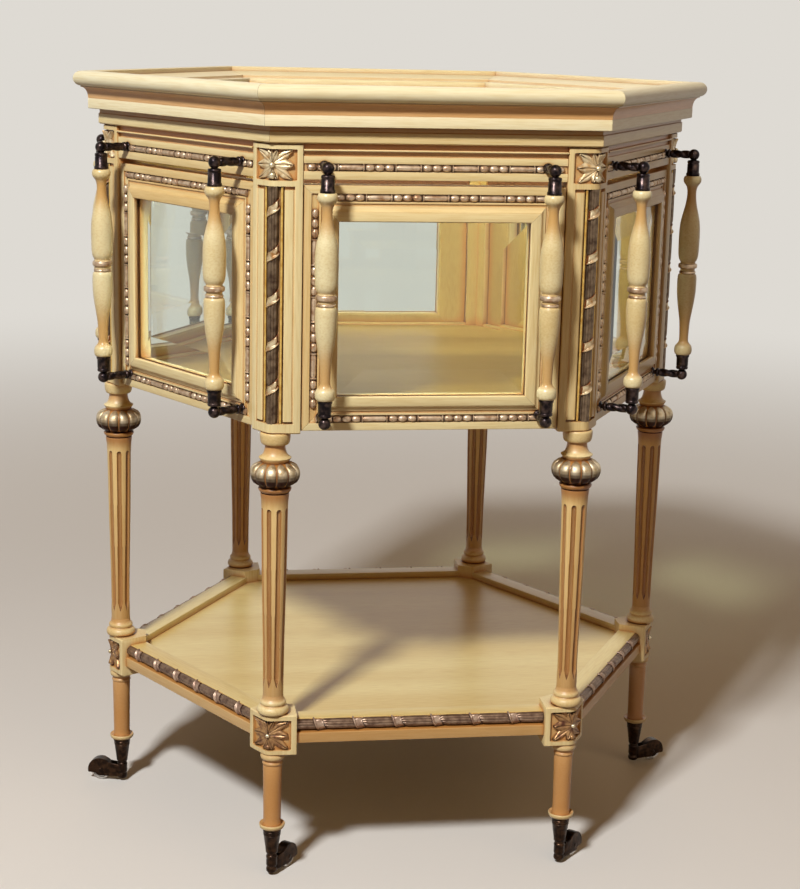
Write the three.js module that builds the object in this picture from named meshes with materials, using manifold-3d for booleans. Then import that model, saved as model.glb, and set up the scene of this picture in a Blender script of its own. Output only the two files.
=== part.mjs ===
// Hexagonal display table: a glazed case with a hinged glazed lid, on six turned and fluted legs
// with a shelf between them and a swivel castor under each leg. Lengths are in millimetres, +Z is
// up, the front face looks along -Y, and the origin is on the floor under the middle of the table.
import * as THREE from "three";
import { mergeVertices } from "three/addons/utils/BufferGeometryUtils.js";
import Module from "manifold-3d";

const wasm = await Module();
wasm.setup();

// The hexagon
const sideCount = 6;
const sideAngle = (2 * Math.PI) / sideCount;
const halfSide = sideAngle / 2;
const cornerCos = Math.cos(halfSide);
const cornerTan = Math.tan(halfSide);
const legCircleRadius = 290;
const legApothem = legCircleRadius * cornerCos;

// Gaps, cutters and the steps of rounds
const seatGap = 0.3;
const overrun = 1;
const coveSteps = 3;
const halfRoundSteps = 4;
const noseSteps = 6;
const ballSteps = 2;

// Castors
const wheelRadius = 11;
const wheelWidth = 6.5;
const wheelSideGap = 0.5;
const wheelTrail = 24;
const wheelSegments = 12;
const axlePinRadius = 1.9;
const hornWheelGap = 1.3;
const hornSlotSegments = 10;
const hornHoodThickness = 1.6;
const hornCheekThickness = 1.4;
const hornSkirtDrop = 4.5;
const hornHoodTurn = 2;
const hornHoodSegments = 4;
const bossRadius = 5.6;
const bossDrop = 7.5;
const bossHeight = 19.7;
const bossSegments = 8;
const pintleRadius = 2;
const pintleHeadRadius = 3.2;
const pintleHeadHeight = 2;
const pintleHeadInset = 0.5;
const cupHeight = 26.3;
const cupTopRadius = 8.6;
const cupBottomRadius = 5.9;
const cupRimRadius = 9.2;
const cupRimHeight = 2.6;
const cupWall = 1.2;
const cupFloor = 3;

// Legs, from the foot up
const turnedSegments = 8;
const spigotLength = 21.3;
const lowerLegHeight = 78.9;
const footRingRadius = 12.4;
const blockHeight = 40.6;
const torusHeight = 13.9;
const torusRadius = 13.5;
const shaftHeight = 206.9;
const shaftTopRadius = 13;
const shaftBottomRadius = 9.8;
const fluteCount = 8;
const fluteDepth = 2.1;
const fluteRunOut = 4.2;
const fluteTopMargin = 15.7;
const fluteBottomMargin = 16.7;
const collarHeight = 4.9;
const collarRadius = 14.2;
const bulbHeight = 23.7;
const bulbRadius = 23.5;
const lobeCount = 12;
const lobeDepth = 2.4;
const capitalHeight = 28.3;
const capitalRadius = 15;
const postHeight = 267.7;

// Posts and leg blocks share one plan, a wedge that wraps the corner of the hexagon
const postFaceProud = 12;
const postWidth = 29.4;
const postDepth = 30;
const postCornerRadius = 10;
const postCornerSteps = 1;
const headBlockHeight = 38.4;
const rosetteMargin = 5.7;
const rosetteDepth = 3;
const postChannelMargin = 17;
const postChannelDepth = 4.2;
const postFootRail = 9.5;
const cornerBeadRadius = 6;
const cornerBeadSides = 6;

// Panels between the posts
const panelSideGap = 0.5;
const panelSetback = 3;
const panelThickness = 20;
const panelFoot = 2.5;
const panelTopGap = 5.2;
const outerStileWidth = 18.5;
const beadChannelInset = 7.5;
const beadChannelWidth = 7;
const beadChannelDepth = 1.6;
const innerCoveWidth = 5.2;
const innerFrameWidth = 14.3;
const innerFrameProud = 4;
const glazingLip = 4;
const glassThickness = 5;
const glassEdgeThickness = 2.6;
const glassBevelWidth = 25;
const glassRebate = 5;

// Case top: frieze rails between the posts under a cornice that caps them
const friezeSetback = 1.5;
const friezeHeight = 32.3;
const friezeThickness = 22;
const friezeLowerField = 7.6;
const friezeUpperField = 6.5;
const friezeGroove = 4.5;
const friezeGrooveDepth = 2;
const friezeBeadHeight = 1.8;
const friezeBeadProud = 2.3;
const corniceHeight = 15;
const corniceProud = 3;
const corniceInnerWidth = 28;

// Case floor
const caseFloorThickness = 12;
const caseFloorTopRise = 20;

// Lid
const lidHeight = 37.4;
const fasciaProud = 9;
const fasciaHeight = 10.4;
const bullnoseProud = 13;
const bullnoseHeight = 15;
const lidTopWidth = 17.5;
const lidTopStep = 5;
const lidSplayWidth = 20.5;
const lidSplayDrop = 4.6;
const lidSplayStep = 2.4;
const lidInnerWidth = 11.5;
const lidPaneDrop = 20.5;
const lidPaneThickness = 5;
const lidLedgeWidth = 12;

// Butt hinges of the lid
const hingeCount = 2;
const hingeSpacing = 160;
const hingeLength = 46;
const hingeLeafThickness = 1.4;
const hingeCaseLeafHeight = 11;
const hingeLidLeafWidth = 5.4;
const knuckleRadius = 3;
const hingePinRadius = 1.2;
const knuckleCount = 3;
const knuckleSegments = 6;

// Shelf
const shelfRailHeight = 23;
const shelfRailRise = 10.5;
const shelfRailSetback = 5;
const shelfRailWidth = 13;
const shelfMouldingHeight = 11.6;
const shelfMouldingDepth = 3.4;
const shelfLedgeWidth = 20;
const shelfBoardThickness = 8.5;
const shelfBoardDrop = 7.5;

// Spindles on brackets, two to a face
const spindleStandoff = 32;
const spindleInset = 19.1;
const spindleSegments = 7;
const spindleRadius = 10.9;
const bracketBallRadius = 5.8;
const bracketCapRadius = 6.3;
const bracketCapLength = 16;
const bracketLowRise = 13.5;
const bracketHighRise = 12.5;
const bracketArmRadius = 3.4;
const bracketRoseRadius = 4.8;
const bracketRoseThickness = 2;
const bracketArmSegments = 6;

// Finishes
const creamPaint = { color: 0xe2d3a0, roughness: 0.5, metalness: 0 };
const shelfPaint = { color: 0xd8cb98, roughness: 0.45, metalness: 0 };
const agedBrass = { color: 0x4a3620, roughness: 0.45, metalness: 0.9 };
const clearGlass = {
  color: 0xdfe8e2,
  roughness: 0.05,
  metalness: 0,
  transparent: true,
  opacity: 0.35,
};

// The tapered socket of a castor cup
const socketTopRadius = cupTopRadius - cupWall;
const socketBottomRadius = cupBottomRadius - cupWall;

// Heights worked out from the sizes above, from the floor up
const axleHeight = wheelRadius;
const bossBottom = axleHeight - bossDrop;
const bossTop = bossBottom + bossHeight;
const cupBottom = bossTop + seatGap;
const cupRim = cupBottom + cupHeight;
const footRingBottom = cupRim + seatGap;
const blockBottom = footRingBottom + lowerLegHeight;
const blockTop = blockBottom + blockHeight;
const shaftBottom = blockTop + torusHeight;
const shaftTop = shaftBottom + shaftHeight;
const bulbBottom = shaftTop + collarHeight;
const capitalBottom = bulbBottom + bulbHeight;
const postBottom = capitalBottom + capitalHeight;
const postTop = postBottom + postHeight;
const panelBottom = postBottom + panelFoot;
const corniceBottom = postTop + seatGap;
const corniceTop = corniceBottom + corniceHeight;
const friezeBottom = corniceBottom - friezeHeight;
const panelTop = friezeBottom - panelTopGap;
const caseFloorTop = panelBottom + caseFloorTopRise;
const lidBottom = corniceTop + seatGap;
const lidTop = lidBottom + lidHeight;
const shelfRailBottom = blockBottom + shelfRailRise;
const shelfRailTop = shelfRailBottom + shelfRailHeight;
const shelfBoardTop = shelfRailTop - shelfBoardDrop;
const shelfBoardBottom = shelfBoardTop - shelfBoardThickness;

// Distances of the faces from the middle of the table
const postFace = legApothem + postFaceProud;
const postBack = postFace - postDepth;
const postEdge = postFace * cornerTan - postWidth;
const panelFace = postFace - panelSetback;
const panelBack = panelFace - panelThickness;
const panelHalfWidth = postEdge - panelSideGap;
const friezeFace = postFace - friezeSetback;
const friezeBack = friezeFace - friezeThickness;
const corniceFace = postFace + corniceProud;
const fasciaFace = corniceFace + fasciaProud;
const shelfRailFace = postFace - shelfRailSetback;
const spindleAxis = panelFace + spindleStandoff;
const spindleAlong = postEdge - spindleInset;

// Booleans

function toSolid(geometry) {
  const bare = geometry.clone();
  bare.deleteAttribute("normal");
  bare.deleteAttribute("uv");
  const merged = mergeVertices(bare, 1e-4);
  const corners = merged.index.array;
  const kept = [];
  for (let i = 0; i < corners.length; i += 3) {
    const [a, b, c] = [corners[i], corners[i + 1], corners[i + 2]];
    if (a !== b && b !== c && c !== a) kept.push(a, b, c);
  }
  const vertProperties = new Float32Array(merged.attributes.position.array);
  const triVerts = new Uint32Array(kept);
  return new wasm.Manifold(new wasm.Mesh({ numProp: 3, vertProperties, triVerts }));
}

function toGeometry(solid) {
  const mesh = solid.getMesh();
  const geometry = new THREE.BufferGeometry();
  geometry.setAttribute("position", new THREE.BufferAttribute(mesh.vertProperties, 3));
  geometry.setIndex(new THREE.BufferAttribute(mesh.triVerts, 1));
  const flat = geometry.toNonIndexed();
  flat.computeVertexNormals();
  return flat;
}

function join(...geometries) {
  return toGeometry(geometries.map(toSolid).reduce((whole, piece) => whole.add(piece)));
}

function cut(geometry, ...cutters) {
  const solids = cutters.map(toSolid);
  return toGeometry(solids.reduce((whole, cutter) => whole.subtract(cutter), toSolid(geometry)));
}

// Basic forms

// A turning about the vertical axis; points are [radius, height] from the bottom up
function turned(points, segments, startAngle = 0) {
  const profile = points.map(([radius, height]) => new THREE.Vector2(radius, height));
  const geometry = new THREE.LatheGeometry(profile, segments, startAngle);
  geometry.rotateX(Math.PI / 2);
  return geometry;
}

// Profile points as shares of a radius and a height, set on a base height
function profileOf(shares, radius, height, base) {
  return shares.map(([radiusShare, heightShare]) => [radiusShare * radius, base + heightShare * height]);
}

// A solid turning, closed on the axis at both ends
function solidTurning(points, segments) {
  const bottom = points[0][1];
  const top = points[points.length - 1][1];
  return turned([[0, bottom], ...points, [0, top]], segments);
}

// A mitred six-sided moulding; points are [distance of the face from the middle, height], and the
// outline runs up the outside and down the inside
function hexMoulding(points) {
  const closed = [...points, points[0]];
  return turned(closed.map(([face, height]) => [face / cornerCos, height]), sideCount, halfSide);
}

// A flat six-sided board
function hexBoard(face, bottom, top) {
  const radius = face / cornerCos;
  return turned([[0, bottom], [radius, bottom], [radius, top], [0, top]], sideCount, halfSide);
}

// Corner radius of a faceted bore whose flats clear a round pin by the seat gap
function boreAround(pinRadius, segments) {
  return (pinRadius + seatGap) / Math.cos(Math.PI / segments);
}

// Points on a quarter or half round, from one angle to another
function arcPoints(centreX, centreY, radius, from, to, steps) {
  const points = [];
  for (let i = 0; i <= steps; i += 1) {
    const angle = from + ((to - from) * i) / steps;
    points.push([centreX + radius * Math.cos(angle), centreY + radius * Math.sin(angle)]);
  }
  return points;
}

// A plan outline raised between two heights
function prism(outline, bottom, top) {
  const shape = new THREE.Shape(outline.map(([x, y]) => new THREE.Vector2(x, y)));
  const geometry = new THREE.ExtrudeGeometry(shape, { depth: top - bottom, bevelEnabled: false });
  geometry.translate(0, 0, bottom);
  return geometry;
}

// A section of [distance from the middle, height] run along the front face
function alongFace(section, halfLength) {
  const shape = new THREE.Shape(section.map(([face, height]) => new THREE.Vector2(face, height)));
  const geometry = new THREE.ExtrudeGeometry(shape, { depth: 2 * halfLength, bevelEnabled: false });
  geometry.translate(0, 0, -halfLength);
  const outward = new THREE.Vector3(0, -1, 0);
  const upward = new THREE.Vector3(0, 0, 1);
  const sideways = new THREE.Vector3(-1, 0, 0);
  geometry.applyMatrix4(new THREE.Matrix4().makeBasis(outward, upward, sideways));
  return geometry;
}

// A cylinder lying along X
function lyingPin(radius, length, segments) {
  const geometry = new THREE.CylinderGeometry(radius, radius, length, segments);
  geometry.rotateZ(Math.PI / 2);
  return geometry;
}

// A mitred rectangular frame on the front face: profile points are [inset from the edge, distance
// from the middle], and run from the outer back edge round the front to the inner back edge
function mitredFrame(profile, halfWidth, bottom, top) {
  const positions = [];
  const corners = [[-1, 0], [1, 0], [1, 1], [-1, 1]];
  for (const [side, upper] of corners) {
    for (const [inset, face] of profile) {
      const height = upper ? top - inset : bottom + inset;
      positions.push(side * (halfWidth - inset), -face, height);
    }
  }
  const count = profile.length;
  const index = [];
  for (let corner = 0; corner < corners.length; corner += 1) {
    const here = corner * count;
    const next = ((corner + 1) % corners.length) * count;
    for (let i = 0; i < count; i += 1) {
      const j = (i + 1) % count;
      index.push(here + i, next + i, next + j, here + i, next + j, here + j);
    }
  }
  const geometry = new THREE.BufferGeometry();
  geometry.setAttribute("position", new THREE.Float32BufferAttribute(positions, 3));
  geometry.setIndex(index);
  return geometry;
}

// The scene graph

const table = new THREE.Group();
const faceNames = ["front", "front_right", "back_right", "back", "back_left", "front_left"];
const cornerNames = ["right", "back_right", "back_left", "left", "front_left", "front_right"];

function addPiece(name, geometry, finish, parent = table) {
  const flat = geometry.index ? geometry.toNonIndexed() : geometry;
  flat.computeVertexNormals();
  const mesh = new THREE.Mesh(flat, new THREE.MeshStandardMaterial(finish));
  mesh.name = name;
  parent.add(mesh);
  return mesh;
}

// A group turned so that what is drawn on the front face or the right-hand corner lies on another
// face or corner
function sideGroup(number) {
  const group = new THREE.Group();
  group.rotation.z = number * sideAngle;
  table.add(group);
  return group;
}

// Corner wedge: the plan of posts and leg blocks, drawn on the right-hand corner, with the corner
// itself rounded where a radius is given
function cornerWedge(face, edge, back, radius = 0) {
  const point = (distance, along, side) => {
    const normal = side * halfSide;
    const x = distance * Math.cos(normal) + along * Math.sin(halfSide);
    const y = distance * Math.sin(normal) - side * along * Math.cos(halfSide);
    return [x, y];
  };
  const centre = (face - radius) / cornerCos;
  const tip = radius
    ? arcPoints(centre, 0, radius, -halfSide, halfSide, postCornerSteps)
    : [[face / cornerCos, 0]];
  return [
    ...tip,
    point(face, edge, 1),
    point(back, edge, 1),
    [back / cornerCos, 0],
    point(back, edge, -1),
    point(face, edge, -1),
  ];
}

function postSolid(bottom, top) {
  return prism(cornerWedge(postFace, postEdge, postBack, postCornerRadius), bottom, top);
}

// A shallow recess that wraps the corner edge
function cornerRecess(margin, depth, bottom, top) {
  return prism(cornerWedge(postFace + overrun, postEdge + margin, postFace - depth), bottom, top);
}

// Clearance round the posts for the boards that are notched round them
function postNotch(bottom, top) {
  const outline = cornerWedge(postFace + 2 * overrun, postEdge - seatGap, postBack - seatGap);
  return prism(outline, bottom, top);
}

function postNotches(bottom, top) {
  const notches = [];
  for (let i = 0; i < sideCount; i += 1) {
    const notch = postNotch(bottom, top);
    notch.rotateZ(i * sideAngle);
    notches.push(notch);
  }
  return notches;
}

// Corner legs: post, turned leg, shelf block and foot in one length of wood

const capitalShares = [[0.97, 0], [1, 0.14], [0.66, 0.3], [0.6, 0.5], [0.93, 0.61], [0.93, 1]];
const bulbShares = [[0.7, 0], [1, 0.4], [0.9, 0.8], [0.6, 1]];
const torusShares = [[0.97, 0], [1, 0.4], [0.83, 1]];
const footShares = [[1, 0], [1, 0.09], [0.7, 0.12], [0.75, 0.86], [0.93, 0.94], [0.93, 1]];

// Radial waves round a turning: each wave is a row of depths, from 0 on the crest to 1 in the hollow
function waved(points, waveCount, depthShares, depths) {
  const perWave = depthShares.length;
  const segments = waveCount * perWave;
  const geometry = solidTurning(points, segments);
  const position = geometry.attributes.position;
  const ringSize = points.length + 2;
  for (let i = 0; i < position.count; i += 1) {
    const column = Math.floor(i / ringSize) % segments;
    const row = i % ringSize;
    const depth = (depths[row - 1] ?? 0) * depthShares[column % perWave];
    const x = position.getX(i);
    const y = position.getY(i);
    const radius = Math.hypot(x, y);
    if (radius > depth) {
      position.setX(i, (x * (radius - depth)) / radius);
      position.setY(i, (y * (radius - depth)) / radius);
    }
  }
  return geometry;
}

function bulbGeometry() {
  const points = profileOf(bulbShares, bulbRadius, bulbHeight, bulbBottom);
  const lobeShares = [1, 0];
  const depths = bulbShares.map(([radiusShare]) => lobeDepth * radiusShare);
  return waved(points, lobeCount, lobeShares, depths);
}

function shaftGeometry() {
  const fluteBottom = shaftBottom + fluteBottomMargin;
  const fluteTop = shaftTop - fluteTopMargin;
  const heights = [
    shaftBottom - overrun,
    fluteBottom,
    fluteBottom + fluteRunOut,
    fluteTop - fluteRunOut,
    fluteTop,
    shaftTop + overrun,
  ];
  const radiusAt = (z) => {
    const share = THREE.MathUtils.clamp((z - shaftBottom) / shaftHeight, 0, 1);
    return THREE.MathUtils.lerp(shaftBottomRadius, shaftTopRadius, share);
  };
  const points = heights.map((z) => [radiusAt(z), z]);
  const depths = [0, 0, fluteDepth, fluteDepth, 0, 0];
  return waved(points, fluteCount, [1, 0, 0], depths);
}

function legSolid() {
  const capital = solidTurning(
    profileOf(capitalShares, capitalRadius, capitalHeight, capitalBottom),
    turnedSegments,
  );
  const collarTop = bulbBottom + overrun;
  const collar = solidTurning([[collarRadius, shaftTop], [collarRadius, collarTop]], turnedSegments);
  const torus = solidTurning(profileOf(torusShares, torusRadius, torusHeight, blockTop), turnedSegments);
  const spigotRadius = (socketRadius) => socketRadius * Math.cos(Math.PI / bossSegments) - seatGap;
  const foot = solidTurning(
    [
      [spigotRadius(socketBottomRadius), footRingBottom - spigotLength],
      [spigotRadius(socketTopRadius), footRingBottom],
      ...profileOf(footShares, footRingRadius, lowerLegHeight, footRingBottom),
    ],
    turnedSegments,
  );
  const turnings = [capital, bulbGeometry(), collar, shaftGeometry(), torus, foot];
  for (const turning of turnings) turning.translate(legCircleRadius, 0, 0);

  const rosetteBlockBottom = postTop - headBlockHeight;
  const block = cut(
    postSolid(blockBottom, blockTop),
    cornerRecess(rosetteMargin, rosetteDepth, blockBottom + rosetteMargin, blockTop - rosetteMargin),
  );
  const post = cut(
    postSolid(postBottom, postTop),
    cornerRecess(rosetteMargin, rosetteDepth, rosetteBlockBottom + rosetteMargin, postTop - rosetteMargin),
    cornerRecess(postChannelMargin, postChannelDepth, postBottom + postFootRail, rosetteBlockBottom),
  );
  const cornerBead = new THREE.CylinderGeometry(
    cornerBeadRadius,
    cornerBeadRadius,
    rosetteBlockBottom - postBottom - postFootRail + overrun,
    cornerBeadSides,
  );
  cornerBead.rotateX(Math.PI / 2);
  cornerBead.translate(
    postFace / cornerCos - cornerBeadRadius - overrun,
    0,
    (rosetteBlockBottom + postBottom + postFootRail) / 2,
  );
  return join(block, post, cornerBead, ...turnings);
}

const legGeometry = legSolid();
for (let i = 0; i < sideCount; i += 1) {
  addPiece(`corner_leg_${cornerNames[i]}`, legGeometry, creamPaint, sideGroup(i));
}

// Castors: a socket cup on the leg, a horn that swivels on its pintle, and a wheel on a pin

const headBottom = bossBottom + pintleHeadInset;
const headTop = headBottom + pintleHeadHeight;
const hornHalfWidth = wheelWidth / 2 + wheelSideGap + hornCheekThickness;

function cupGeometry() {
  return turned(
    [
      [0, headBottom],
      [pintleHeadRadius, headBottom],
      [pintleHeadRadius, headTop],
      [pintleRadius, headTop],
      [pintleRadius, cupBottom],
      [cupBottomRadius, cupBottom],
      [cupTopRadius, cupRim - cupRimHeight],
      [cupRimRadius, cupRim - cupRimHeight],
      [cupRimRadius, cupRim],
      [socketTopRadius, cupRim],
      [socketBottomRadius, cupBottom + cupFloor],
      [0, cupBottom + cupFloor],
    ],
    bossSegments,
  );
}

// The horn is drawn with its wheel out along +X
function hornGeometry() {
  const slotRadius = wheelRadius + hornWheelGap;
  const hoodRadius = slotRadius + hornHoodThickness;
  const shape = new THREE.Shape();
  shape.moveTo(0, bossTop - overrun);
  shape.lineTo(0, bossBottom + overrun);
  shape.lineTo(wheelTrail, axleHeight - hornSkirtDrop);
  shape.absarc(wheelTrail, axleHeight, hoodRadius, -hornSkirtDrop / hoodRadius, hornHoodTurn, false);
  const fork = new THREE.ExtrudeGeometry(shape, {
    depth: 2 * hornHalfWidth,
    bevelEnabled: false,
    curveSegments: hornHoodSegments,
  });
  fork.translate(0, 0, -hornHalfWidth);
  fork.rotateX(Math.PI / 2);
  const boss = solidTurning([[bossRadius, bossBottom], [bossRadius, bossTop]], bossSegments);
  const slotWidth = wheelWidth + 2 * wheelSideGap;
  const wheelSlot = new THREE.CylinderGeometry(slotRadius, slotRadius, slotWidth, hornSlotSegments);
  wheelSlot.translate(wheelTrail, 0, axleHeight);
  const boreRadius = boreAround(pintleRadius, bossSegments);
  const counterboreRadius = boreAround(pintleHeadRadius, bossSegments);
  const bore = solidTurning(
    [
      [counterboreRadius, bossBottom - overrun],
      [counterboreRadius, headTop + seatGap],
      [boreRadius, headTop + seatGap],
      [boreRadius, bossTop + overrun],
    ],
    bossSegments,
  );
  const pin = new THREE.CylinderGeometry(axlePinRadius, axlePinRadius, 2 * hornHalfWidth, bossSegments);
  pin.translate(wheelTrail, 0, axleHeight);
  return join(cut(join(fork, boss), wheelSlot, bore), pin);
}

function wheelGeometry() {
  const vertexRadius = wheelRadius / Math.cos(Math.PI / wheelSegments);
  const bore = boreAround(axlePinRadius, wheelSegments);
  const half = wheelWidth / 2;
  const geometry = turned(
    [
      [vertexRadius, -half],
      [vertexRadius, half],
      [bore, half],
      [bore, -half],
      [vertexRadius, -half],
    ],
    wheelSegments,
    Math.PI / wheelSegments,
  );
  geometry.rotateX(Math.PI / 2);
  return geometry;
}

// The way each wheel trails, as a share of a full turn from +X
const trailTurnShares = {
  right: 0.05,
  back_right: 0.3,
  back_left: 0.36,
  left: 0.45,
  front_left: 0.14,
  front_right: 0.13,
};

const sharedCup = cupGeometry();
const sharedHorn = hornGeometry();
const sharedWheel = wheelGeometry();
for (let i = 0; i < sideCount; i += 1) {
  const name = cornerNames[i];
  const castor = new THREE.Group();
  const angle = i * sideAngle;
  castor.position.set(legCircleRadius * Math.cos(angle), legCircleRadius * Math.sin(angle), 0);
  table.add(castor);
  addPiece(`castor_cup_${name}`, sharedCup, agedBrass, castor);
  const swivel = new THREE.Group();
  swivel.rotation.z = 2 * Math.PI * trailTurnShares[name];
  castor.add(swivel);
  addPiece(`castor_horn_${name}`, sharedHorn, agedBrass, swivel);
  const wheel = addPiece(`castor_wheel_${name}`, sharedWheel, agedBrass, swivel);
  wheel.position.set(wheelTrail, 0, axleHeight);
}

// Case top: cornice ring with the frieze rails under it

function caseTopGeometry() {
  const corniceBack = corniceFace - corniceInnerWidth;
  const ring = hexMoulding([
    [corniceFace, corniceBottom],
    [corniceFace, corniceTop],
    [corniceBack, corniceTop],
    [corniceBack, corniceBottom],
  ]);
  const channelBottom = friezeBottom + friezeLowerField;
  const channelTop = channelBottom + beadChannelWidth;
  const fieldTop = channelTop + friezeUpperField;
  const grooveTop = fieldTop + friezeGroove;
  const beadTop = grooveTop + friezeBeadHeight;
  const section = [
    [friezeBack, friezeBottom],
    [friezeFace, friezeBottom],
    [friezeFace, channelBottom],
    [friezeFace - beadChannelDepth, channelBottom],
    [friezeFace - beadChannelDepth, channelTop],
    [friezeFace, channelTop],
    [friezeFace, fieldTop],
    [friezeFace - friezeGrooveDepth, fieldTop],
    [friezeFace - friezeGrooveDepth, grooveTop],
    [friezeFace + friezeBeadProud, grooveTop],
    [friezeFace + friezeBeadProud, beadTop],
    [friezeFace - friezeGrooveDepth, beadTop],
    [friezeFace - friezeGrooveDepth, corniceBottom + overrun],
    [friezeBack, corniceBottom + overrun],
  ];
  const rails = [];
  for (let i = 0; i < sideCount; i += 1) {
    const rail = alongFace(section, postEdge - seatGap);
    rail.rotateZ(i * sideAngle);
    rails.push(rail);
  }
  return join(ring, ...rails);
}

addPiece("case_top_frame", caseTopGeometry(), creamPaint);

// Panels: an outer frame with a raised glazing frame, grooved for its bevelled pane

const paneInset = innerFrameWidth + outerStileWidth;
const paneHalfWidth = panelHalfWidth - paneInset + glassRebate;
const paneFront = panelFace + innerFrameProud - glazingLip - seatGap;
const paneBack = paneFront - glassThickness;

const innerCoveShares = [[0.3, 0.2], [0.8, 0.6]];

function panelGeometry() {
  const cove = innerCoveShares.map(([across, out]) => [
    outerStileWidth + across * innerCoveWidth,
    panelFace + out * innerFrameProud,
  ]);
  const frameFace = panelFace + innerFrameProud;
  const channelEnd = beadChannelInset + beadChannelWidth;
  const rebateInset = paneInset - glassRebate - seatGap;
  return mitredFrame(
    [
      [0, panelBack],
      [0, panelFace],
      [beadChannelInset, panelFace],
      [beadChannelInset, panelFace - beadChannelDepth],
      [channelEnd, panelFace - beadChannelDepth],
      [channelEnd, panelFace],
      [outerStileWidth, panelFace],
      ...cove,
      [outerStileWidth + innerCoveWidth, frameFace],
      [paneInset, frameFace],
      [paneInset, paneFront + seatGap],
      [rebateInset, paneFront + seatGap],
      [rebateInset, paneBack - seatGap],
      [paneInset, paneBack - seatGap],
      [paneInset, panelBack],
    ],
    panelHalfWidth,
    panelBottom,
    panelTop,
  );
}

// A plate with a wide flat bevel round its front face
function paneGeometry() {
  const bottom = panelBottom + paneInset - glassRebate;
  const top = panelTop - paneInset + glassRebate;
  const middle = (bottom + top) / 2;
  const halfHeight = (top - bottom) / 2;
  const bevel = glassBevelWidth + glassRebate;
  const loops = [
    [0, paneBack],
    [0, paneBack + glassEdgeThickness],
    [bevel, paneFront],
  ];
  const positions = [];
  for (const [inset, face] of loops) {
    const w = paneHalfWidth - inset;
    const low = middle - halfHeight + inset;
    const high = middle + halfHeight - inset;
    positions.push(-w, -face, low, w, -face, low, w, -face, high, -w, -face, high);
  }
  const index = [0, 2, 1, 0, 3, 2, 8, 9, 10, 8, 10, 11];
  for (let loop = 0; loop < loops.length - 1; loop += 1) {
    for (let i = 0; i < 4; i += 1) {
      const j = (i + 1) % 4;
      const [a, b, c, d] = [4 * loop + i, 4 * loop + j, 4 * loop + 4 + j, 4 * loop + 4 + i];
      index.push(a, b, c, a, c, d);
    }
  }
  const geometry = new THREE.BufferGeometry();
  geometry.setAttribute("position", new THREE.Float32BufferAttribute(positions, 3));
  geometry.setIndex(index);
  return geometry;
}

const sharedPanel = panelGeometry();
const sharedPane = paneGeometry();
for (let i = 0; i < sideCount; i += 1) {
  const group = sideGroup(i);
  addPiece(`side_panel_${faceNames[i]}`, sharedPanel, creamPaint, group);
  addPiece(`panel_glass_${faceNames[i]}`, sharedPane, clearGlass, group);
}

// Case floor, notched round the posts

const caseFloorBottom = caseFloorTop - caseFloorThickness;
const caseFloor = hexBoard(panelBack - seatGap, caseFloorBottom, caseFloorTop);
const floorNotches = postNotches(caseFloorBottom - overrun, caseFloorTop + overrun);
addPiece("case_floor", cut(caseFloor, ...floorNotches), creamPaint);

// Shelf: a frame of rails notched round the leg blocks, with a board that lies on its ledge

function shelfFrameGeometry() {
  const mouldingBottom = shelfRailTop - shelfMouldingHeight;
  const railBack = shelfRailFace - shelfRailWidth;
  const ledgeBack = railBack - shelfLedgeWidth;
  const moulding = arcPoints(
    shelfRailFace - shelfMouldingHeight / 2,
    mouldingBottom + shelfMouldingHeight / 2,
    shelfMouldingHeight / 2,
    -Math.PI / 2,
    Math.PI / 2,
    halfRoundSteps,
  );
  const ring = hexMoulding([
    [shelfRailFace, shelfRailBottom],
    [shelfRailFace, mouldingBottom - overrun],
    [shelfRailFace - shelfMouldingDepth, mouldingBottom - overrun],
    ...moulding,
    [railBack, shelfRailTop],
    [railBack, shelfBoardBottom - seatGap],
    [ledgeBack, shelfBoardBottom - seatGap],
    [ledgeBack, shelfRailBottom],
  ]);
  return cut(ring, ...postNotches(shelfRailBottom - overrun, shelfRailTop + overrun));
}

addPiece("shelf_frame", shelfFrameGeometry(), creamPaint);

const shelfBoard = hexBoard(shelfRailFace - shelfRailWidth - seatGap, shelfBoardBottom, shelfBoardTop);
const boardNotches = postNotches(shelfBoardBottom - overrun, shelfBoardTop + overrun);
addPiece("shelf_board", cut(shelfBoard, ...boardNotches), shelfPaint);

// Spindles, each on a top and a bottom bracket

const bracketLow = panelBottom + bracketLowRise;
const bracketHigh = friezeBottom + bracketHighRise;
// Turned wood from the bottom up: collar, neck and belly, a ring, then a fuller belly, neck, collar
const spindleWoodShares = [
  [0.85, 0.02],
  [0.44, 0.1],
  [0.92, 0.4],
  [0.8, 0.47],
  [0.95, 0.52],
  [1, 0.62],
  [0.9, 0.75],
  [0.43, 0.9],
  [0.85, 0.97],
];

function spindleSolid() {
  const capOffset = bracketBallRadius + bracketCapLength;
  const woodBottom = bracketLow + capOffset;
  const woodTop = bracketHigh - capOffset;
  const lowerBall = arcPoints(0, bracketLow, bracketBallRadius, -Math.PI / 2, 0, ballSteps).slice(1);
  const upperBall = lowerBall.map(([r, z]) => [r, bracketLow + bracketHigh - z]).reverse();
  const column = turned(
    [
      [0, bracketLow - bracketBallRadius],
      ...lowerBall,
      [bracketCapRadius, woodBottom],
      ...profileOf(spindleWoodShares, spindleRadius, woodTop - woodBottom, woodBottom),
      [bracketCapRadius, woodTop],
      ...upperBall,
      [0, bracketHigh + bracketBallRadius],
    ],
    spindleSegments,
  );
  column.translate(0, -spindleAxis, 0);
  return join(column, bracketArm(panelFace, bracketLow), bracketArm(friezeFace, bracketHigh));
}

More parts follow.
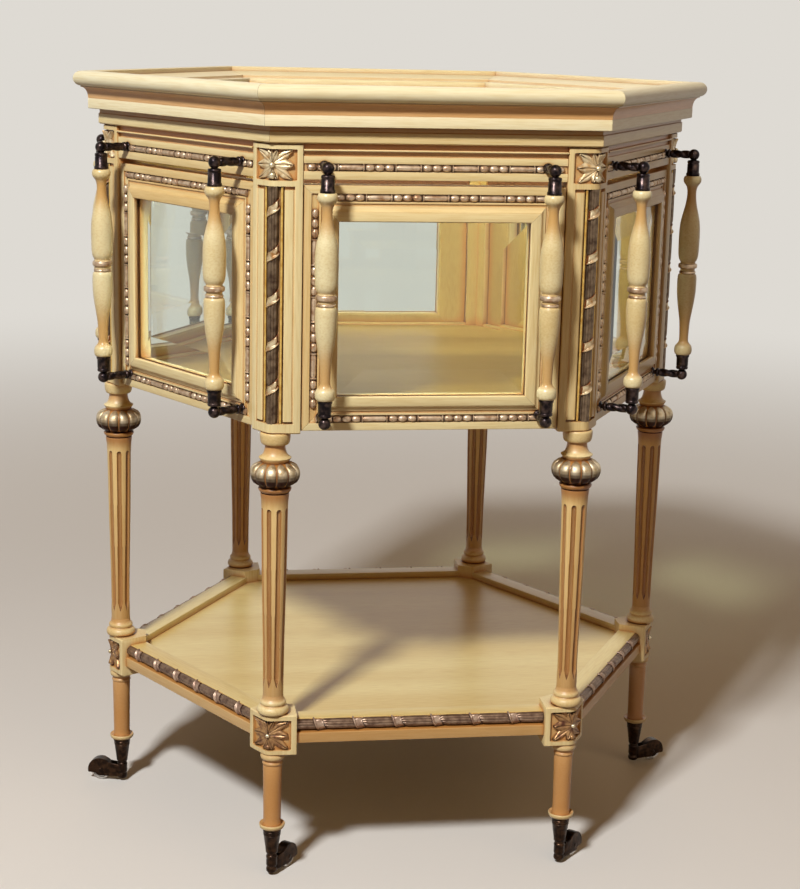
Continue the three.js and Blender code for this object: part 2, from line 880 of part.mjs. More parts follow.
// An arm from the wall to the ball, thickening to a rose against the wall
function bracketArm(wall, height) {
  const wallEnd = wall + seatGap;
  const roseEnd = wallEnd + bracketRoseThickness;
  const arm = solidTurning(
    [
      [bracketRoseRadius, wallEnd],
      [bracketRoseRadius, roseEnd],
      [bracketArmRadius, spindleAxis],
    ],
    bracketArmSegments,
  );
  arm.rotateX(Math.PI / 2);
  arm.translate(0, 0, height);
  return arm;
}

const sharedSpindle = spindleSolid();
for (let i = 0; i < sideCount; i += 1) {
  const group = sideGroup(i);
  const left = addPiece(`spindle_${faceNames[i]}_a`, sharedSpindle, creamPaint, group);
  left.position.x = -spindleAlong;
  const right = addPiece(`spindle_${faceNames[i]}_b`, sharedSpindle, creamPaint, group);
  right.position.x = spindleAlong;
}

// Lid: a moulded frame with a pane let into its top

function lidFrameGeometry() {
  const noseRadius = bullnoseHeight / 2;
  const noseCentre = fasciaFace + bullnoseProud - noseRadius;
  const noseBottom = lidTop - bullnoseHeight;
  const fasciaTop = lidBottom + fasciaHeight;
  const coveRise = noseBottom - fasciaTop - overrun;
  const coveReach = noseCentre + overrun - fasciaFace;
  const cove = arcPoints(0, 0, 1, Math.PI, Math.PI / 2, coveSteps).map(([x, y]) => [
    fasciaFace + coveReach * (1 + x),
    fasciaTop + coveRise * y,
  ]);
  const noseMiddle = lidTop - noseRadius;
  const nose = arcPoints(noseCentre, noseMiddle, noseRadius, -Math.PI / 2, Math.PI / 2, noseSteps);
  const topInner = noseCentre + noseRadius - lidTopWidth;
  const splayInner = topInner - lidSplayWidth;
  const splayTop = lidTop - lidTopStep;
  const splayFoot = splayTop - lidSplayDrop;
  const innerTop = splayFoot - lidSplayStep;
  const paneEdge = splayInner - lidInnerWidth;
  const ledge = lidTop - lidPaneDrop - lidPaneThickness - seatGap;
  const sight = paneEdge - lidLedgeWidth;
  return hexMoulding([
    [fasciaFace, lidBottom],
    ...cove,
    [noseCentre + overrun, noseBottom],
    ...nose,
    [topInner, lidTop],
    [topInner, splayTop],
    [splayInner, splayFoot],
    [splayInner, innerTop],
    [paneEdge, innerTop],
    [paneEdge, ledge],
    [sight, ledge],
    [sight, lidBottom],
  ]);
}

const lidPaneFace =
  fasciaFace + bullnoseProud - lidTopWidth - lidSplayWidth - lidInnerWidth - seatGap;

addPiece("lid_frame", lidFrameGeometry(), creamPaint);
const lidPaneTop = lidTop - lidPaneDrop;
addPiece("lid_glass", hexBoard(lidPaneFace, lidPaneTop - lidPaneThickness, lidPaneTop), clearGlass);

// Butt hinges: one leaf on the back of the cornice with the pin, one under the edge of the lid

const hingeAxisBack = corniceFace + seatGap + knuckleRadius;
const hingeAxisHeight = lidBottom - seatGap - hingeLeafThickness / 2 - knuckleRadius;
const knuckleLength = hingeLength / knuckleCount;

function knuckle(offset, length) {
  const barrel = lyingPin(knuckleRadius, length, knuckleSegments);
  barrel.translate(offset, hingeAxisBack, hingeAxisHeight);
  return barrel;
}

function caseLeafGeometry() {
  const leafFront = corniceFace + seatGap;
  const plate = new THREE.BoxGeometry(hingeLength, hingeLeafThickness, hingeCaseLeafHeight);
  plate.translate(0, leafFront + hingeLeafThickness / 2, hingeAxisHeight - hingeCaseLeafHeight / 2);
  const reliefDepth = 2 * knuckleRadius + overrun;
  const relief = new THREE.BoxGeometry(knuckleLength, reliefDepth, 2 * (knuckleRadius + seatGap));
  relief.translate(0, leafFront + knuckleRadius, hingeAxisHeight);
  const endOffset = knuckleLength + seatGap / 2;
  const ends = [-1, 1].map((side) => knuckle(side * endOffset, knuckleLength - seatGap));
  const pin = lyingPin(hingePinRadius, hingeLength, knuckleSegments);
  pin.translate(0, hingeAxisBack, hingeAxisHeight);
  return join(cut(plate, relief), ...ends, pin);
}

function lidLeafGeometry() {
  const leafTop = lidBottom - seatGap;
  const plate = new THREE.BoxGeometry(hingeLength, hingeLidLeafWidth, hingeLeafThickness);
  plate.translate(0, hingeAxisBack + hingeLidLeafWidth / 2, leafTop - hingeLeafThickness / 2);
  const reliefLength = knuckleLength + 2 * seatGap;
  const relief = new THREE.BoxGeometry(reliefLength, 2 * knuckleRadius + seatGap, 2 * knuckleRadius);
  const reliefs = [-1, 1].map((side) => {
    const box = relief.clone();
    box.translate(side * knuckleLength, hingeAxisBack, hingeAxisHeight + seatGap);
    return box;
  });
  const middle = knuckle(0, knuckleLength - seatGap);
  const boreRadius = boreAround(hingePinRadius, knuckleSegments);
  const bore = lyingPin(boreRadius, hingeLength + overrun, knuckleSegments);
  bore.translate(0, hingeAxisBack, hingeAxisHeight);
  return cut(join(cut(plate, ...reliefs), middle), bore);
}

const hingeNames = ["left", "right"];
for (let i = 0; i < hingeCount; i += 1) {
  const offset = (i / (hingeCount - 1) - 1 / 2) * hingeSpacing;
  const caseLeaf = addPiece(`hinge_case_leaf_${hingeNames[i]}`, caseLeafGeometry(), agedBrass);
  const lidLeaf = addPiece(`hinge_lid_leaf_${hingeNames[i]}`, lidLeafGeometry(), agedBrass);
  caseLeaf.position.x = offset;
  lidLeaf.position.x = offset;
}

export default table;
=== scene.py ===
"""Looks of the hexagonal display table: antiqued cream paint with brown glaze in the recesses, gilt
carving, black patinated brackets, dark bronze castors and bevelled plate glass.

Sizes are in millimetres and heights are above the floor; one function turns them to metres. What is
drawn on the front side (looking along -Y) or on the right-hand corner (+X) is turned to the others.
"""

import math

import bmesh
import bpy
from mathutils import Matrix, Vector


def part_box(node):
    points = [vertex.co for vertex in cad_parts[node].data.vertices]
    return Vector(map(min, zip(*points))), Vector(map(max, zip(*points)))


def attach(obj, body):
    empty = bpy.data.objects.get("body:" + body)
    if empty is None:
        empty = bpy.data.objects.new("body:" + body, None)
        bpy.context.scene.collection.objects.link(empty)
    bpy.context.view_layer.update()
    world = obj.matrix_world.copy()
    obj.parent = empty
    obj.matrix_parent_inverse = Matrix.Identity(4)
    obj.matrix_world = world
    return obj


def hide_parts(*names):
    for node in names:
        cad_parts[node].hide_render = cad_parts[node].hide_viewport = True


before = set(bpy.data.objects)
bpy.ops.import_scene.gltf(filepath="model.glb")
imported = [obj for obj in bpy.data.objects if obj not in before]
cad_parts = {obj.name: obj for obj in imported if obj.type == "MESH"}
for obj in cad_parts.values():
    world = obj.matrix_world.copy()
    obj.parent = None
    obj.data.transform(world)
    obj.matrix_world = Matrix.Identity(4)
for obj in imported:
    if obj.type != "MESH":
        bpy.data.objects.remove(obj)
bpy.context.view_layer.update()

MM = 0.001
SIDES = 6
SIDE_TURN = 2 * math.pi / SIDES
CORNER_COS = math.cos(SIDE_TURN / 2)
CORNER_SIN = math.sin(SIDE_TURN / 2)
CORNER_TAN = math.tan(SIDE_TURN / 2)
FACES = ["front", "front_right", "back_right", "back", "back_left", "front_left"]
CORNERS = ["right", "back_right", "back_left", "left", "front_left", "front_right"]

# Distances of faces and axes from the middle of the table
LEG_CIRCLE = 290
POST_FACE = 263.15
POST_BACK = 233.15
POST_EDGE = 122.53
POST_WIDTH = 29.4
PANEL_FACE = 260.15
PANEL_BACK = 240.15
PANEL_HALF = 122.03
FRIEZE_FACE = 261.65
FRIEZE_BACK = 239.65
CORNICE_FACE = 266.15
CORNICE_BACK = 238.15
FASCIA_FACE = 275.15
SHELF_RAIL_FACE = 258.15
SHELF_RAIL_BACK = 245.15
SHELF_LEDGE_BACK = 225.15
SPINDLE_AXIS = 292.15
SPINDLE_ALONG = 103.43

# Heights
AXLE = 11
FOOT = 50.1
BLOCK_BOTTOM = 129
BLOCK_TOP = 169.6
SHAFT_BOTTOM = 183.5
SHAFT_TOP = 390.4
BULB_BOTTOM = 395.3
BULB_TOP = 419
POST_BOTTOM = 447.3
POST_TOP = 715
ROSETTE_BLOCK = 676.6
PANEL_BOTTOM = 449.8
PANEL_TOP = 677.8
FRIEZE_BOTTOM = 683
CORNICE_BOTTOM = 715.3
CORNICE_TOP = 730.3
LID_BOTTOM = 730.6
LID_TOP = 768
CASE_FLOOR_TOP = 469.8
SHELF_RAIL_BOTTOM = 139.5
SHELF_RAIL_TOP = 162.5
SHELF_BOARD_TOP = 155
BRACKET_LOW = 463.3
BRACKET_HIGH = 695.5

# The hairline left where two mitred lengths meet
MITRE_GAP = 0.12


# Materials


def linear(hex_colour):
    """An sRGB colour such as #E8D8A0 as linear red, green, blue and 1."""
    shares = [int(hex_colour[i:i + 2], 16) / 255 for i in (1, 3, 5)]
    return (*(c / 12.92 if c <= 0.04045 else ((c + 0.055) / 1.055) ** 2.4 for c in shares), 1)


def add(tree, kind, inputs=None, stops=(), **settings):
    """Adds a shader node with its settings, its inputs and, on a ramp, its two stops. An input is a
    value, a hex colour, an output, or a node whose first output in use is linked."""
    node = tree.nodes.new("ShaderNode" + kind)
    for name, value in settings.items():
        setattr(node, name, value)
    for name, value in (inputs or {}).items():
        if isinstance(value, bpy.types.Node):
            value = next(output for output in value.outputs if output.enabled)
        if isinstance(value, bpy.types.NodeSocket):
            tree.links.new(value, node.inputs[name])
        else:
            node.inputs[name].default_value = linear(value) if isinstance(value, str) else value
    for number, (place, colour) in enumerate(stops):
        node.color_ramp.elements[number].position = place
        node.color_ramp.elements[number].color = linear(colour)
    return node


def blank_material(name):
    material = bpy.data.materials.new(name)
    material.use_nodes = True
    material.node_tree.nodes.clear()
    return material, material.node_tree


def crevice(tree, reach, low, high, noise, noise_share):
    """How deep a spot lies in a recess: 0 where less than the low share of the sky is hidden within
    reach, 1 from the high share on, with the edge broken up by a noise."""
    shade = add(tree, "AmbientOcclusion", {"Distance": reach * MM}, samples=8).outputs["AO"]
    broken = add(tree, "Math", {0: noise, 1: noise_share, 2: 1 - noise_share / 2},
                 operation="MULTIPLY_ADD")
    depth = add(tree, "Math", {0: broken, 1: shade}, operation="SUBTRACT")
    return add(tree, "MapRange", {"Value": depth, "From Min": low, "From Max": high},
               interpolation_type="SMOOTHSTEP")


def object_place(tree, stretch=(1, 1, 1)):
    """Coordinates in millimetres on the piece, moved at random from piece to piece."""
    spot = add(tree, "TexCoord").outputs["Object"]
    chance = add(tree, "ObjectInfo").outputs["Random"]
    shift = add(tree, "VectorMath", {0: (7.3, 3.1, 5.7), "Scale": chance}, operation="SCALE")
    shifted = add(tree, "VectorMath", {0: spot, 1: shift}, operation="ADD")
    return add(tree, "Mapping", {"Vector": shifted, "Scale": [s / MM for s in stretch]})


def neck_share(tree, axis, narrow, wide):
    """How near a turned spot lies to its axis, from 0 at the wide radius to 1 at the narrow one."""
    spot = add(tree, "TexCoord").outputs["Object"]
    centred = add(tree, "VectorMath", {0: spot, 1: (-axis * MM, 0, 0)}, operation="ADD")
    flat = add(tree, "VectorMath", {0: centred, 1: (1, 1, 0)}, operation="MULTIPLY")
    radius = add(tree, "VectorMath", {0: flat}, operation="LENGTH")
    return add(tree, "MapRange", {"Value": radius, "From Min": wide * MM, "From Max": narrow * MM},
               interpolation_type="SMOOTHSTEP")


def height_share(tree, low, high):
    """From 0 at the low height of the piece to 1 at the high one."""
    apart = add(tree, "SeparateXYZ", {0: add(tree, "TexCoord").outputs["Object"]})
    height = apart.outputs["Z"]
    return add(tree, "MapRange", {"Value": height, "From Min": low * MM, "From Max": high * MM},
               interpolation_type="SMOOTHSTEP")


def finish_surface(tree, grain, strength, depth, finish):
    """Ends a material with its finish over a fine relief of that depth."""
    relief = add(tree, "Bump", {"Height": grain, "Strength": strength, "Distance": depth * MM})
    surface = add(tree, "BsdfPrincipled", {**finish, "Normal": relief})
    add(tree, "OutputMaterial", {"Surface": surface})


def cream_paint(
    name, stretch, body, shade, glaze=1.0, roughness=0.4, neck=None, top=None, amber="#BC7C38"
):
    """Oil-bound cream paint over beech, brushed on, rubbed back and glazed with umber: a satin warm
    cream with faint brush marks, amber where the glaze thins out and brown in every recess. Both
    grow with how much sky a spot hides within reach, so they are partly umber glaze and partly
    painted shade. glaze says how strong they are, from 1 on open mouldings to 2 in fine turnings;
    neck gives the axis, the narrow and the wide radius of a turning whose narrow parts are toned
    amber, and top the heights between which the amber grows toward the head of a shaft, as
    painted shade under its collar."""
    material, tree = blank_material(name)
    place = object_place(tree, stretch)
    # Clouds about 70 mm across, where the glaze was wiped more or less
    clouds = add(tree, "TexNoise", {"Vector": place, "Scale": 1 / 70, "Detail": 3})
    # Bristle marks about 1.6 mm apart, drawn out along the stroke
    bristles = add(tree, "TexNoise", {"Vector": place, "Scale": 1 / 1.6, "Detail": 4})
    # Patches of 7 mm that break up the edge of the glaze
    blotches = add(tree, "TexNoise", {"Vector": place, "Scale": 1 / 7, "Detail": 3})
    ground = add(tree, "ValToRGB", {"Fac": clouds}, [(0.32, shade), (0.6, body)])
    marks = add(tree, "ValToRGB", {"Fac": bristles}, [(0.3, "#E2CFA6"), (0.58, "#FFFFFF")])
    brushed = add(tree, "Mix", {"Factor": 0.4, "A": ground, "B": marks},
                  data_type="RGBA", blend_type="MULTIPLY")
    # Amber where the glaze thins out over a wide hollow, and close along every fine joint:
    # umber glaze, and painted shade in the hollows and under the mouldings
    shares = [
        crevice(tree, 14, 0.1 / glaze, 0.62 / glaze, clouds, 0.2),
        crevice(tree, 3.6, 0.06 / glaze, 0.5 / glaze, blotches, 0.2),
    ]
    shares += [neck_share(tree, *neck)] if neck else []
    # The amber toward the head of a shaft is painted shade under its collar
    shares += [height_share(tree, *top)] if top else []
    thin_glaze_and_shade = shares[0]
    for share in shares[1:]:
        thin_glaze_and_shade = add(tree, "Math", {0: thin_glaze_and_shade, 1: share}, operation="MAXIMUM")
    thinned = add(tree, "Math", {0: thin_glaze_and_shade, 1: 0.85}, operation="MULTIPLY")
    toned = add(tree, "Mix", {"Factor": thinned, "A": brushed, "B": amber}, data_type="RGBA")
    # Brown in tight grooves and joints: dark joints, and painted shade where a groove hides the sky
    thick_glaze_and_shade = crevice(tree, 3.6, 0.36 / glaze, 0.92 / glaze, blotches, 0.25)
    glazed = add(tree, "Mix", {"Factor": thick_glaze_and_shade, "A": toned, "B": "#4A220D"}, data_type="RGBA")
    finish_surface(tree, bristles, 0.2, 0.12, {
        "Base Color": glazed, "Roughness": roughness, "IOR": 1.5, "Coat Weight": 0.2,
        "Coat Roughness": 0.36,
    })
    return material


def gilding(
    name, crest, hollow, glaze, roughness=0.34, metallic=0.85, worn=(0.16, 0.66), underside_shade=None
):
    """Bronze-powder gilding on carved wood, toned with umber: soft metal on the crests, worn to
    brown between them. worn gives the depths between which the toning grows full, and the
    underside colour is painted on the faces that look down, as painted shade."""
    material, tree = blank_material(name)
    place = object_place(tree)
    # Rubbed patches about 6 mm across
    wear = add(tree, "TexNoise", {"Vector": place, "Scale": 1 / 6, "Detail": 4})
    # The powder's grain, drawn at 0.5 mm so that it shows
    grain = add(tree, "TexNoise", {"Vector": place, "Scale": 1 / 0.5, "Detail": 2})
    leaf = add(tree, "ValToRGB", {"Fac": wear}, [(0.3, hollow), (0.6, crest)])
    depth = crevice(tree, 4, *worn, wear, 0.2)
    toned = add(tree, "Mix", {"Factor": depth, "A": leaf, "B": glaze}, data_type="RGBA")
    if underside_shade:
        # Painted shade: the faces that look down are darkened toward the underside colour
        facing = add(tree, "SeparateXYZ", {0: add(tree, "NewGeometry").outputs["Normal"]})
        up = facing.outputs["Z"]
        shaded_below = add(tree, "MapRange", {"Value": up, "From Min": 0.34, "From Max": -0.4},
                    interpolation_type="SMOOTHSTEP")
        toned = add(tree, "Mix", {"Factor": shaded_below, "A": toned, "B": underside_shade}, data_type="RGBA")
    metal = add(tree, "MapRange", {
        "Value": depth, "From Min": 0, "From Max": 0.7, "To Min": metallic, "To Max": 0.1,
    })
    finish_surface(tree, grain, 0.3, 0.1, {
        "Base Color": toned, "Metallic": metal, "Roughness": roughness,
    })
    return material


def dark_metal(name, body, rubbed, roughness):
    """Cast metal under a dark patina: nearly black, with a dull shine, and rubbed a little
    brighter in patches."""
    material, tree = blank_material(name)
    place = object_place(tree)
    # Rubbed patches about 5 mm across and casting grain of 0.7 mm
    patches = add(tree, "TexNoise", {"Vector": place, "Scale": 1 / 5, "Detail": 4})
    grain = add(tree, "TexNoise", {"Vector": place, "Scale": 1 / 0.7, "Detail": 3})
    colour = add(tree, "ValToRGB", {"Fac": patches}, [(0.42, body), (0.75, rubbed)])
    finish_surface(tree, grain, 0.35, 0.12, {
        "Base Color": colour, "Metallic": 0.9, "Roughness": roughness,
    })
    return material


def plate_glass(name):
    """Polished plate glass: clear, faintly green, sharp reflections. It lets the lamps' light
    through to what stands behind it, dimmed and warmed, as painted shade inside the case."""
    material, tree = blank_material(name)
    solid = add(tree, "BsdfPrincipled", {
        "Base Color": "#F2F7F3", "Roughness": 0, "IOR": 1.5, "Transmission Weight": 1,
    })
    # Painted shade: shadow rays pass the glass dimmed and warmed, which darkens the inside of the
    # case
    clear = add(tree, "BsdfTransparent", {"Color": "#E2E4D6"})
    shadow = add(tree, "LightPath").outputs["Is Shadow Ray"]
    surface = add(tree, "MixShader", {0: shadow, 1: solid, 2: clear})
    add(tree, "OutputMaterial", {"Surface": surface})
    return material


CREAM = "#EEDCA6"
TAN = "#DDBE80"
# How the brush marks are drawn out: 1 across the stroke, and less along it
UPRIGHT = (1, 1, 0.06)
LEVEL = (0.06, 1, 1)
BOARD = (0.08, 1, 1)
TURNED = (0.7, 0.7, 1)
turned_paint = cream_paint(
    "antiqued_cream_paint_turned", TURNED, CREAM, TAN, 1.1, 0.42, (LEG_CIRCLE, 8.2, 13.6)
)
upright_paint = cream_paint("antiqued_cream_paint_upright", UPRIGHT, CREAM, TAN)
rail_paint = cream_paint("antiqued_cream_paint_rails", LEVEL, CREAM, TAN)
lid_paint = cream_paint("antiqued_cream_paint_lid", LEVEL, "#F0E6C0", "#E4D29C")
board_paint = cream_paint("antiqued_cream_paint_boards", BOARD, "#E8D594", "#DABF78", 0.8, 0.3)
# The case floor in a darker brass-yellow: painted shade inside the case
shaded_case_floor_paint = cream_paint("painted_shade_case_floor", BOARD, "#BC9A50", "#A6823C", 0.8)
# A darker tan on the faces inside the case: painted shade
shaded_inside_paint = cream_paint("painted_shade_case_inside", (1, 1, 0.2), "#C2A462", "#AC8C4C", 1.2)
shelf_paint = cream_paint("antiqued_cream_paint_shelf_rails", LEVEL, "#D4B076", "#C2965A", 1.1)
# The shafts grow amber toward their heads: painted shade under the collar
shaft_paint = cream_paint(
    "antiqued_cream_paint_shafts", UPRIGHT, "#E8C98A", "#D6A862", 2.3, 0.42,
    (LEG_CIRCLE, 7.0, 12.9), (SHAFT_TOP - 17, SHAFT_TOP - 3), "#9C6022"
)
spindle_paint = cream_paint(
    "antiqued_cream_paint_spindles", TURNED, "#ECDFB0", "#DEC68C", 1.2, 0.32, (0, 4.2, 9.4),
    amber="#C8964E"
)
# Amber-brown for the bulb's core and the collar under it: umber glaze, and painted shade under and
# between the lobes
amber_glaze_and_shade_paint = cream_paint(
    "umber_glaze_and_painted_shade", (1, 1, 1), "#B98444", "#9A642C", 1.2, amber="#8E5822"
)
# A warmer, darker cream for the cove under the lid's nose: painted warm shade
shaded_cove_paint = cream_paint("painted_warm_shade_cove", LEVEL, "#F2C182", "#E2A660", 1.2)
# Dark brown for the battens behind the back panes: painted shade
shaded_batten_paint = cream_paint("painted_shade_batten_wood", BOARD, "#7A4E2C", "#5E3A1E", 1.0, 0.5)
bead_gilt = gilding("toned_pinkish_gilding", "#D2BCA0", "#A07A5A", "#3C2218", 0.36, 0.7)
silver_gilt = gilding("toned_silver_gilding", "#DCCFB0", "#B4A07A", "#33190B", 0.26)
# The bulb's gilding is darkened on its lower faces as painted shade
bulb_gilt = gilding(
    "toned_bulb_gilding_shaded_below", "#D4C4A6", "#A68E68", "#5A2E10", 0.48, 0.85, (0.2, 0.7), "#2C130A"
)
petal_gilt = gilding("worn_silver_gilding", "#E0CFA8", "#B88E56", "#4A240E", 0.36, 0.5)
ribbon_gilt = gilding(
    "worn_ribbon_gilding", "#DACAA4", "#A4743E", "#7A3E12", 0.4, 0.55, (0.04, 0.34)
)
tie_gilt = gilding("toned_tie_gilding", "#BCA28C", "#8A6A5A", "#3C2218", 0.4, 0.6, (0.04, 0.42))
reed_bronze = gilding("dark_reed_bronze", "#7E6A54", "#4A3628", "#1C0E08", 0.34, 0.75)
fillet_gilt = gilding("worn_gold_fillet", "#E8C46C", "#C8963C", "#5A3010", 0.36, 0.35)
moulding_gilt = gilding("toned_reed_gilding", "#8E7560", "#5C4234", "#241009", 0.34, 0.65)
leaf_bronze = gilding("dark_leaf_bronze", "#AE8658", "#5C3426", "#220C08", 0.34, 0.6)
bracket_metal = dark_metal("black_patinated_brass", "#1B1518", "#5A4A45", 0.3)
castor_metal = dark_metal("dark_bronze", "#22160F", "#4A3424", 0.32)
wheel_metal = dark_metal("worn_nickelled_brass", "#B4ADA6", "#ECE8E4", 0.36)
glass = plate_glass("polished_plate_glass")


# Mesh tools


def build_mesh(name, shape, material, smooth=60):
    """A mesh from points in millimetres and faces, turned outward. Edges are shaded soft up to an
    angle in degrees that suits carving, and less on straight mouldings."""
    points, faces = shape
    mesh = bpy.data.meshes.new(name)
    mesh.from_pydata([[c * MM for c in p] for p in points], [], faces)
    work = bmesh.new()
    work.from_mesh(mesh)
    bmesh.ops.remove_doubles(work, verts=work.verts, dist=1e-7)
    bmesh.ops.recalc_face_normals(work, faces=work.faces)
    work.to_mesh(mesh)
    work.free()
    mesh.shade_smooth()
    mesh.set_sharp_from_angle(angle=math.radians(smooth))
    mesh.materials.append(material)
    return mesh


def join_shapes(*shapes):
    """Several (points, faces) pairs as one."""
    points, faces = [], []
    for more_points, more_faces in shapes:
        start = len(points)
        points += more_points
        faces += [[start + i for i in face] for face in more_faces]
    return points, faces


def moved(shape, matrix):
    points, faces = shape
    return [tuple(matrix @ Vector(p)) for p in points], faces


def stacked(rings):
    """Rings of as many points each, joined in turn and capped at both ends."""
    count = len(rings[0])
    points = [p for ring in rings for p in ring]
    last = len(points) - count
    faces = []
    for here in range(0, last, count):
        for i in range(count):
            j = (i + 1) % count
            faces.append([here + i, here + j, here + count + j, here + count + i])
    return points, [*faces, [*range(count)][::-1], [*range(last, len(points))]]


def soften(outline, radius, steps=3):
    """A closed outline with its corners rounded."""
    rounded = []
    count = len(outline)
    for i in range(count):
        before, here, after = (Vector(outline[(i + k) % count]) for k in (-1, 0, 1))
        into, out = here - before, after - here
        shortest = min(into.length, out.length)
        turn = abs(into.angle(out)) if shortest >= 1e-6 else 0
        if turn < 0.2:
            rounded.append(tuple(here))
            continue
        reach = min(radius * math.tan(turn / 2), 0.45 * shortest)
        start, end = here - into.normalized() * reach, here + out.normalized() * reach
        for k in range(steps + 1):
            t = k / steps
            rounded.append(tuple(start * (1 - t) ** 2 + here * 2 * t * (1 - t) + end * t ** 2))
    return rounded


def arc(centre_x, centre_y, radius, start, end, steps):
    """Points on an arc, angles in degrees."""
    points = []
    for i in range(steps + 1):
        angle = math.radians(start + (end - start) * i / steps)
        points.append((centre_x + radius * math.cos(angle), centre_y + radius * math.sin(angle)))
    return points


def turning(profile, segments, shape=None, centre=(0, 0)):
    """Radius and height points turned about an upright axis; shape(angle, height, radius) gives the
    radius where it isn't round."""
    rings = []
    for radius, height in profile:
        ring = []
        for i in range(segments):
            angle = 2 * math.pi * i / segments
            r = shape(angle, height, radius) if shape else radius
            ring.append((centre[0] + r * math.cos(angle), centre[1] + r * math.sin(angle), height))
        rings.append(ring)
    return stacked(rings)


def smooth_profile(points):
    """A turned profile drawn as one smooth curve through its points, in steps of about 1.5 mm."""
    drawn = []
    count = len(points)
    for i in range(count - 1):
        a, b, c, d = (Vector(points[min(max(i + k, 0), count - 1)]) for k in (-1, 0, 1, 2))
        steps = max(2, round((c - b).length / 1.5))
        for k in range(steps):
            t = k / steps
            drawn.append(tuple(0.5 * (
                2 * b + (c - a) * t + (2 * a - 5 * b + 4 * c - d) * t ** 2
                + (3 * b - a - 3 * c + d) * t ** 3
            )))
    drawn.append(tuple(points[-1]))
    return drawn


def moulding(outline, half_length=None):
    """A length of moulding on the front side, mitred, or cut square where half its length is given;
    outline points are distance from the middle, height."""
    return stacked([
        [
            (side * (half_length or face * CORNER_TAN - MITRE_GAP), -face, height)
            for face, height in outline
        ]
        for side in (-1, 1)
    ])


# Quarter turns from the lower rail to the members of a frame
RAILS = (0, 2)
STILES = (1, 3)


def frame_member(turns):
    """Half the length of a member of a panel's frame, and how far its edge lies from the panel's
    middle; then the way from there, turned, to its place."""
    half_height = (PANEL_TOP - PANEL_BOTTOM) / 2
    halves = (PANEL_HALF, half_height) if turns in RAILS else (half_height, PANEL_HALF)
    middle = Matrix.Translation((0, 0, (PANEL_BOTTOM + PANEL_TOP) / 2))
    return *halves, middle @ Matrix.Rotation(turns * math.pi / 2, 4, "Y")


def mitred_members(outline, members):
    """The rails or the stiles of a panel's mitred frame; outline points are inset from the edge,
    distance from the middle of the table."""
    shapes = []
    for turns in members:
        half_along, half_across, place = frame_member(turns)
        shapes.append(moved(stacked([
            [
                (side * (half_along - inset - MITRE_GAP), -face, inset - half_across)
                for inset, face in outline
            ]
            for side in (-1, 1)
        ]), place))
    return join_shapes(*shapes)


def relief_slab(columns, rows, front, back):
    """A carved piece: front(u, v) and back(u, v) give its two skins for u and v from 0 to 1."""
    points, faces = [], []
    for skin in (front, back):
        for j in range(rows + 1):
            for i in range(columns + 1):
                points.append(tuple(skin(i / columns, j / rows)))
    row = columns + 1
    size = row * (rows + 1)
    for j in range(rows):
        for i in range(columns):
            a = j * row + i
            faces.append([a, a + 1, a + row + 1, a + row])
            faces.append([size + a, size + a + row, size + a + row + 1, size + a + 1])
    rim = [*range(columns)] + [j * row + columns for j in range(rows)]
    rim += [rows * row + i for i in range(columns, 0, -1)] + [j * row for j in range(rows, 0, -1)]
    for k, a in enumerate(rim):
        b = rim[(k + 1) % len(rim)]
        faces.append([a, size + a, size + b, b])
    return points, faces


def repaint(mesh, paint, chosen):
    """Gives the faces that chosen picks a paint of their own."""
    mesh.materials.append(paint)
    for face in mesh.polygons:
        if chosen(face):
            face.material_index = len(mesh.materials) - 1


def looks_inward(face):
    """Whether a face of the case looks toward its middle."""
    outward = Vector((face.center.x, face.center.y, 0)).normalized()
    return face.center.z > POST_BOTTOM * MM and face.normal.dot(outward) < -0.5


def place_piece(name, mesh, nodes=(), number=0, at=None, body="table"):
    """Shows a mesh on side or corner number, riding on a body and standing for CAD nodes."""
    piece = bpy.data.objects.new(name, mesh)
    bpy.context.scene.collection.objects.link(piece)
    piece.matrix_world = Matrix.Rotation(number * SIDE_TURN, 4, "Z") @ (at or Matrix.Identity(4))
    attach(piece, body)
    if nodes:
        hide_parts(*nodes)


def place_round(places, *pieces, body="table"):
    """Shows meshes on all six sides or corners. A third entry names the CAD node that a mesh stands
    for: one on each of the six where the name ends in _, and otherwise one that goes all round."""
    for number, place in enumerate(places):
        for name, mesh, *node in pieces:
            nodes = [n + place if n[-1] == "_" else n for n in node if n[-1] == "_" or not number]
            place_piece(f"{name}_{place}", mesh, nodes, number, body=body)


def raised(profile, base):
    """Radius and height points, moved up by a base height."""
    return [(radius, base + height) for radius, height in profile]


def radius_at(points, place):
    """The radius at a place between (place, radius) points."""
    for (low, low_radius), (high, high_radius) in zip(points, points[1:]):
        if place <= high:
            return low_radius + (high_radius - low_radius) * (place - low) / (high - low)


# Gilt ornament

BEAD_RADIUS = 3.3
BEAD_PITCH = 9.1
BEADS_IN_GROUP = 3
REEL_LENGTH = 25.5
# One end of a reel: distance from the end, radius
REEL_END = [(0.3, 1.6), (0.7, 3.3), (1.6, 3.3), (2.2, 2.2), (4.2, 2.7)]


